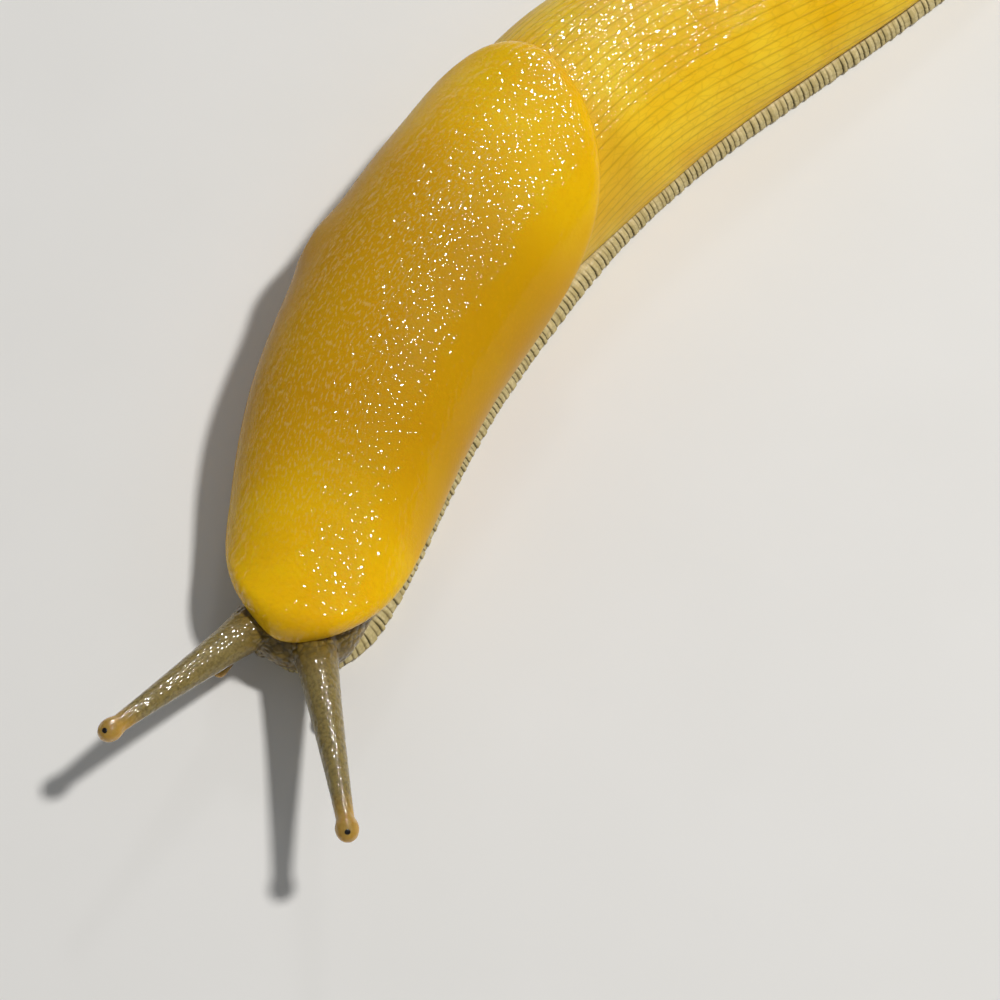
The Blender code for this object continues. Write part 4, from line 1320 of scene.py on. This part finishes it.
def head_material():
    """Thin olive skin under beaded mucus, turning clear amber on the eye knobs with a painted glow.
    """
    material, tree, shader = new_material("wet_head_skin")
    groove, stalk, amber, mouth = marks_of(tree, "groove", "stalk", "amber", "mouth")
    place = add(tree, "ShaderNodeTexCoord", {}).outputs["Object"]
    clouds = add(tree, "ShaderNodeTexNoise", {"Vector": place, "Scale": 320.0, "Detail": 4.0})
    seam = add(tree, "ShaderNodeMath", {0: groove, 1: 0.6}, operation="MULTIPLY")
    grained = {"A": paint("8C7A46"), "B": paint("5C5030")}
    grained["Factor"] = noise_share(tree, place, *STALK_GRAIN)
    grained = add(tree, "ShaderNodeMix", grained, data_type="RGBA")
    layers = (
        (clouds.outputs["Fac"], "8C7432"),
        (seam.outputs["Value"], "3E3418"),
        (stalk, grained.outputs["Result"]),
        # Clear amber of the knobs and feeler tips, with a painted glow on their sides and
        # undersides.
        (amber, "CC9A34"),
        # Painted shade: the mouth is painted nearly black inside its slit.
        (mouth, "2A2010"),
    )
    paint_skin(tree, shader, "6E5822", layers)
    beads = add(tree, "ShaderNodeTexVoronoi", {"Vector": place, "Scale": BEADS_PER_METRE})
    away = beads.outputs["Distance"]
    domes = add(tree, "ShaderNodeMath", {0: away, 1: away}, operation="MULTIPLY")
    reliefs = (("Coat Normal", 1.0, BEAD_HEIGHT), ("Normal", 0.3, FINE_RELIEF))
    for socket, strength, depth in reliefs:
        relief = {"Height": domes.outputs["Value"], "Strength": strength, "Distance": depth}
        bump = add(tree, "ShaderNodeBump", relief, invert=True)
        tree.links.new(bump.outputs["Normal"], shader.inputs[socket])
    settle(shader, Roughness=SKIN_ROUGHNESS, IOR=FLESH_IOR, Specular_IOR_Level=0.1)
    settle(shader, Subsurface_Weight=0.4, Subsurface_Radius=THIN_GLOW, Subsurface_Scale=0.0009)
    settle(shader, Coat_Weight=1.0, Coat_Roughness=WET_ROUGHNESS, Coat_IOR=1.45)
    return material


wear(head, head_material())

# %% [markdown]
# The blocks of the frill are greyish cream, each a little lighter or darker than the next, and
# the furrows between them brown or almost black.  Painting each block by hand would take days,
# so every corner was marked with its block's number and its furrow's depth while the frill was
# wrapped.

# %% Paint of the foot
def foot_material():
    """Frilled foot edge: grey-cream blocks with thin furrows, some of them nearly black."""
    material, tree, shader = new_material("wet_foot_frill")
    skin, furrow, dark, block = marks_of(tree, "skin", "furrow", "dark", "block")
    grain = add(tree, "ShaderNodeTexNoise", {"Vector": skin, "Scale": 3.0, "Detail": 4.0})
    patches = {"Value": grain.outputs["Fac"], "From Min": 0.4, "From Max": 0.7, "To Max": 0.5}
    layers = (
        (block, "DCCB98"),
        (add(tree, "ShaderNodeMapRange", patches).outputs["Result"], "A8965A"),
        (furrow, "A08E5C"),
        (dark, "15120A"),
    )
    paint_skin(tree, shader, "C4B27C", layers)
    relief = {"Height": grain.outputs["Fac"], "Strength": 0.5, "Distance": FINE_RELIEF}
    bump = add(tree, "ShaderNodeBump", relief)
    tree.links.new(bump.outputs["Normal"], shader.inputs["Normal"])
    settle(shader, Roughness=0.6, IOR=FLESH_IOR, Specular_IOR_Level=0.2)
    settle(shader, Coat_Weight=0.15, Coat_Roughness=0.25, Coat_IOR=1.35)
    return material


wear(foot, foot_material())

# %% [markdown]
# The pigment of the eye is a warm black with a polished look, because clear skin lies over it.

# %% Paint of the eyes
def eye_material():
    """Black pigment of the eye under clear skin, with a faint brown grain."""
    material, tree, shader = new_material("eye_pigment")
    place = add(tree, "ShaderNodeTexCoord", {}).outputs["Object"]
    grain = add(tree, "ShaderNodeTexNoise", {"Vector": place, "Scale": 6000.0, "Detail": 2.0})
    paint_skin(tree, shader, "0A0907", ((grain.outputs["Fac"], "1E1710"),))
    settle(shader, Roughness=0.12, IOR=1.4)
    return material


black = eye_material()
for dot in eyes.values():
    wear(dot, black)

# %% [markdown]
# Every skin moves with the one body of this still model, so that is what it rides on.  The
# solids that each one replaces are hidden, or they would show through it.

# %% Ride on the frame
for piece, slot_name, nodes in (
    (back, "body_skin", ("trunk_front", "trunk_rear", "tail_front", "tail_middle", "tail_tip")),
    (mantle, "mantle_skin", ("mantle",)),
    (foot, "foot_fringe", ("foot_front", "foot_middle", "foot_rear", "foot_tail", "foot_tip")),
    (head, "head_skin", ("head", "neck")),
):
    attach(piece, "root")
    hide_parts(*nodes)
    print(piece.name, "takes the place of", ", ".join(nodes))
for side in SIDES:
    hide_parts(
        f"upper_tentacle_{side}_root",
        f"upper_tentacle_{side}_shaft",
        f"eye_knob_{side}",
        f"lower_tentacle_{side}",
        f"lip_{side}",
    )
    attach(eyes[side], "root")
    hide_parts(f"eye_{side}")

# %% [markdown]
# A museum model is best seen on something plain, so a wide pale floor is laid under it.  It has
# a barely visible mottle, because a perfectly even floor looks like no floor at all.

# %% Floor
FLOOR_SIZE = 4.0

pick()
bpy.ops.mesh.primitive_plane_add(size=FLOOR_SIZE, location=(0.0, 0.0, 0.0))
floor = bpy.context.object
floor.name = "floor"
material, tree, shader = new_material("pale_floor")
place = add(tree, "ShaderNodeTexCoord", {}).outputs["Object"]
mottle = add(tree, "ShaderNodeTexNoise", {"Vector": place, "Scale": 40.0, "Detail": 4.0})
paint_skin(tree, shader, "E9E6E0", ((mottle.outputs["Fac"], "EFECE7"),))
settle(shader, Roughness=0.85)
wear(floor, material)
floor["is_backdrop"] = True

# %% [markdown]
# Three lights do the work of the sun and sky.  A small bright key light behind the animal's
# left shoulder throws its shadow and lights the belt of sparks, and a broad faint one fills
# from the front.  The third shows in reflections alone.  It stands low behind the tail, where
# both stalks mirror it towards the camera, and casts no second shadow there.

# %% Lights
VIEW_TARGET = (0.01209, -0.04948, 0.008)
# Azimuth, elevation, distance and width in metres, watts, and whether it lights surfaces.
LIGHTS = (
    ("key_light", 140.0, 62.0, 1.0, 0.085, 7.2, True),
    ("glint_light", 205.5, 36.0, 1.0, 0.09, 13.0, False),
    ("front_light", 20.0, 50.0, 1.5, 1.4, 1.4, True),
)


def stand(name, data, azimuth, elevation, distance):
    """A light or camera that looks at the slug, from -Y at azimuth 0 and from +X at 90."""
    a, e = math.radians(azimuth), math.radians(elevation)
    way = Vector((math.sin(a) * math.cos(e), -math.cos(a) * math.cos(e), math.sin(e)))
    thing = bpy.data.objects.new(name, data)
    bpy.context.scene.collection.objects.link(thing)
    thing.location = Vector(VIEW_TARGET) + way * distance
    thing.rotation_euler = way.to_track_quat("Z", "Y").to_euler()
    return thing


for name, azimuth, elevation, distance, size, power, lights_surfaces in LIGHTS:
    light = bpy.data.lights.new(name, "AREA")
    light.size = size
    light.energy = power
    lamp = stand(name, light, azimuth, elevation, distance)
    lamp.visible_diffuse = lights_surfaces
    print(name, power, "W,", size, "m wide")
sky = bpy.data.worlds.new("studio")
sky.use_nodes = True
settle(sky.node_tree.nodes["Background"], Color=paint("E6EBF0"), Strength=0.2)
bpy.context.scene.world = sky
bpy.context.scene.view_settings.view_transform = "Standard"

# %% [markdown]
# The photo looks steeply down from the animal's left front with a long lens.  The camera stands
# on the same line, as far away as makes the mantle fill the same share of the picture.

# %% Camera
VIEW_AZIMUTH = 35.0
VIEW_ELEVATION = 68.0
VIEW_DISTANCE = 0.2972
VIEW_LENS = 100.0

lens = bpy.data.cameras.new("camera")
lens.lens = VIEW_LENS
lens.clip_start = 0.01
camera = stand("camera", lens, VIEW_AZIMUTH, VIEW_ELEVATION, VIEW_DISTANCE)
bpy.context.scene.camera = camera
print("the camera stands", round(camera.location.z, 3), "m above the floor")

# %% [markdown]
# Last, the box of the finished slug is measured against the box of the solids, and the
# shifts are printed.

# %% Measure and finish
NEW_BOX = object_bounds()
for axis, low, high, new_low, new_high in zip("xyz", *CAD_BOX, *NEW_BOX):
    shifts = [round((new - old) / MM, 2) for new, old in ((new_low, low), (new_high, high))]
    print(axis, shifts, "mm past the solids")
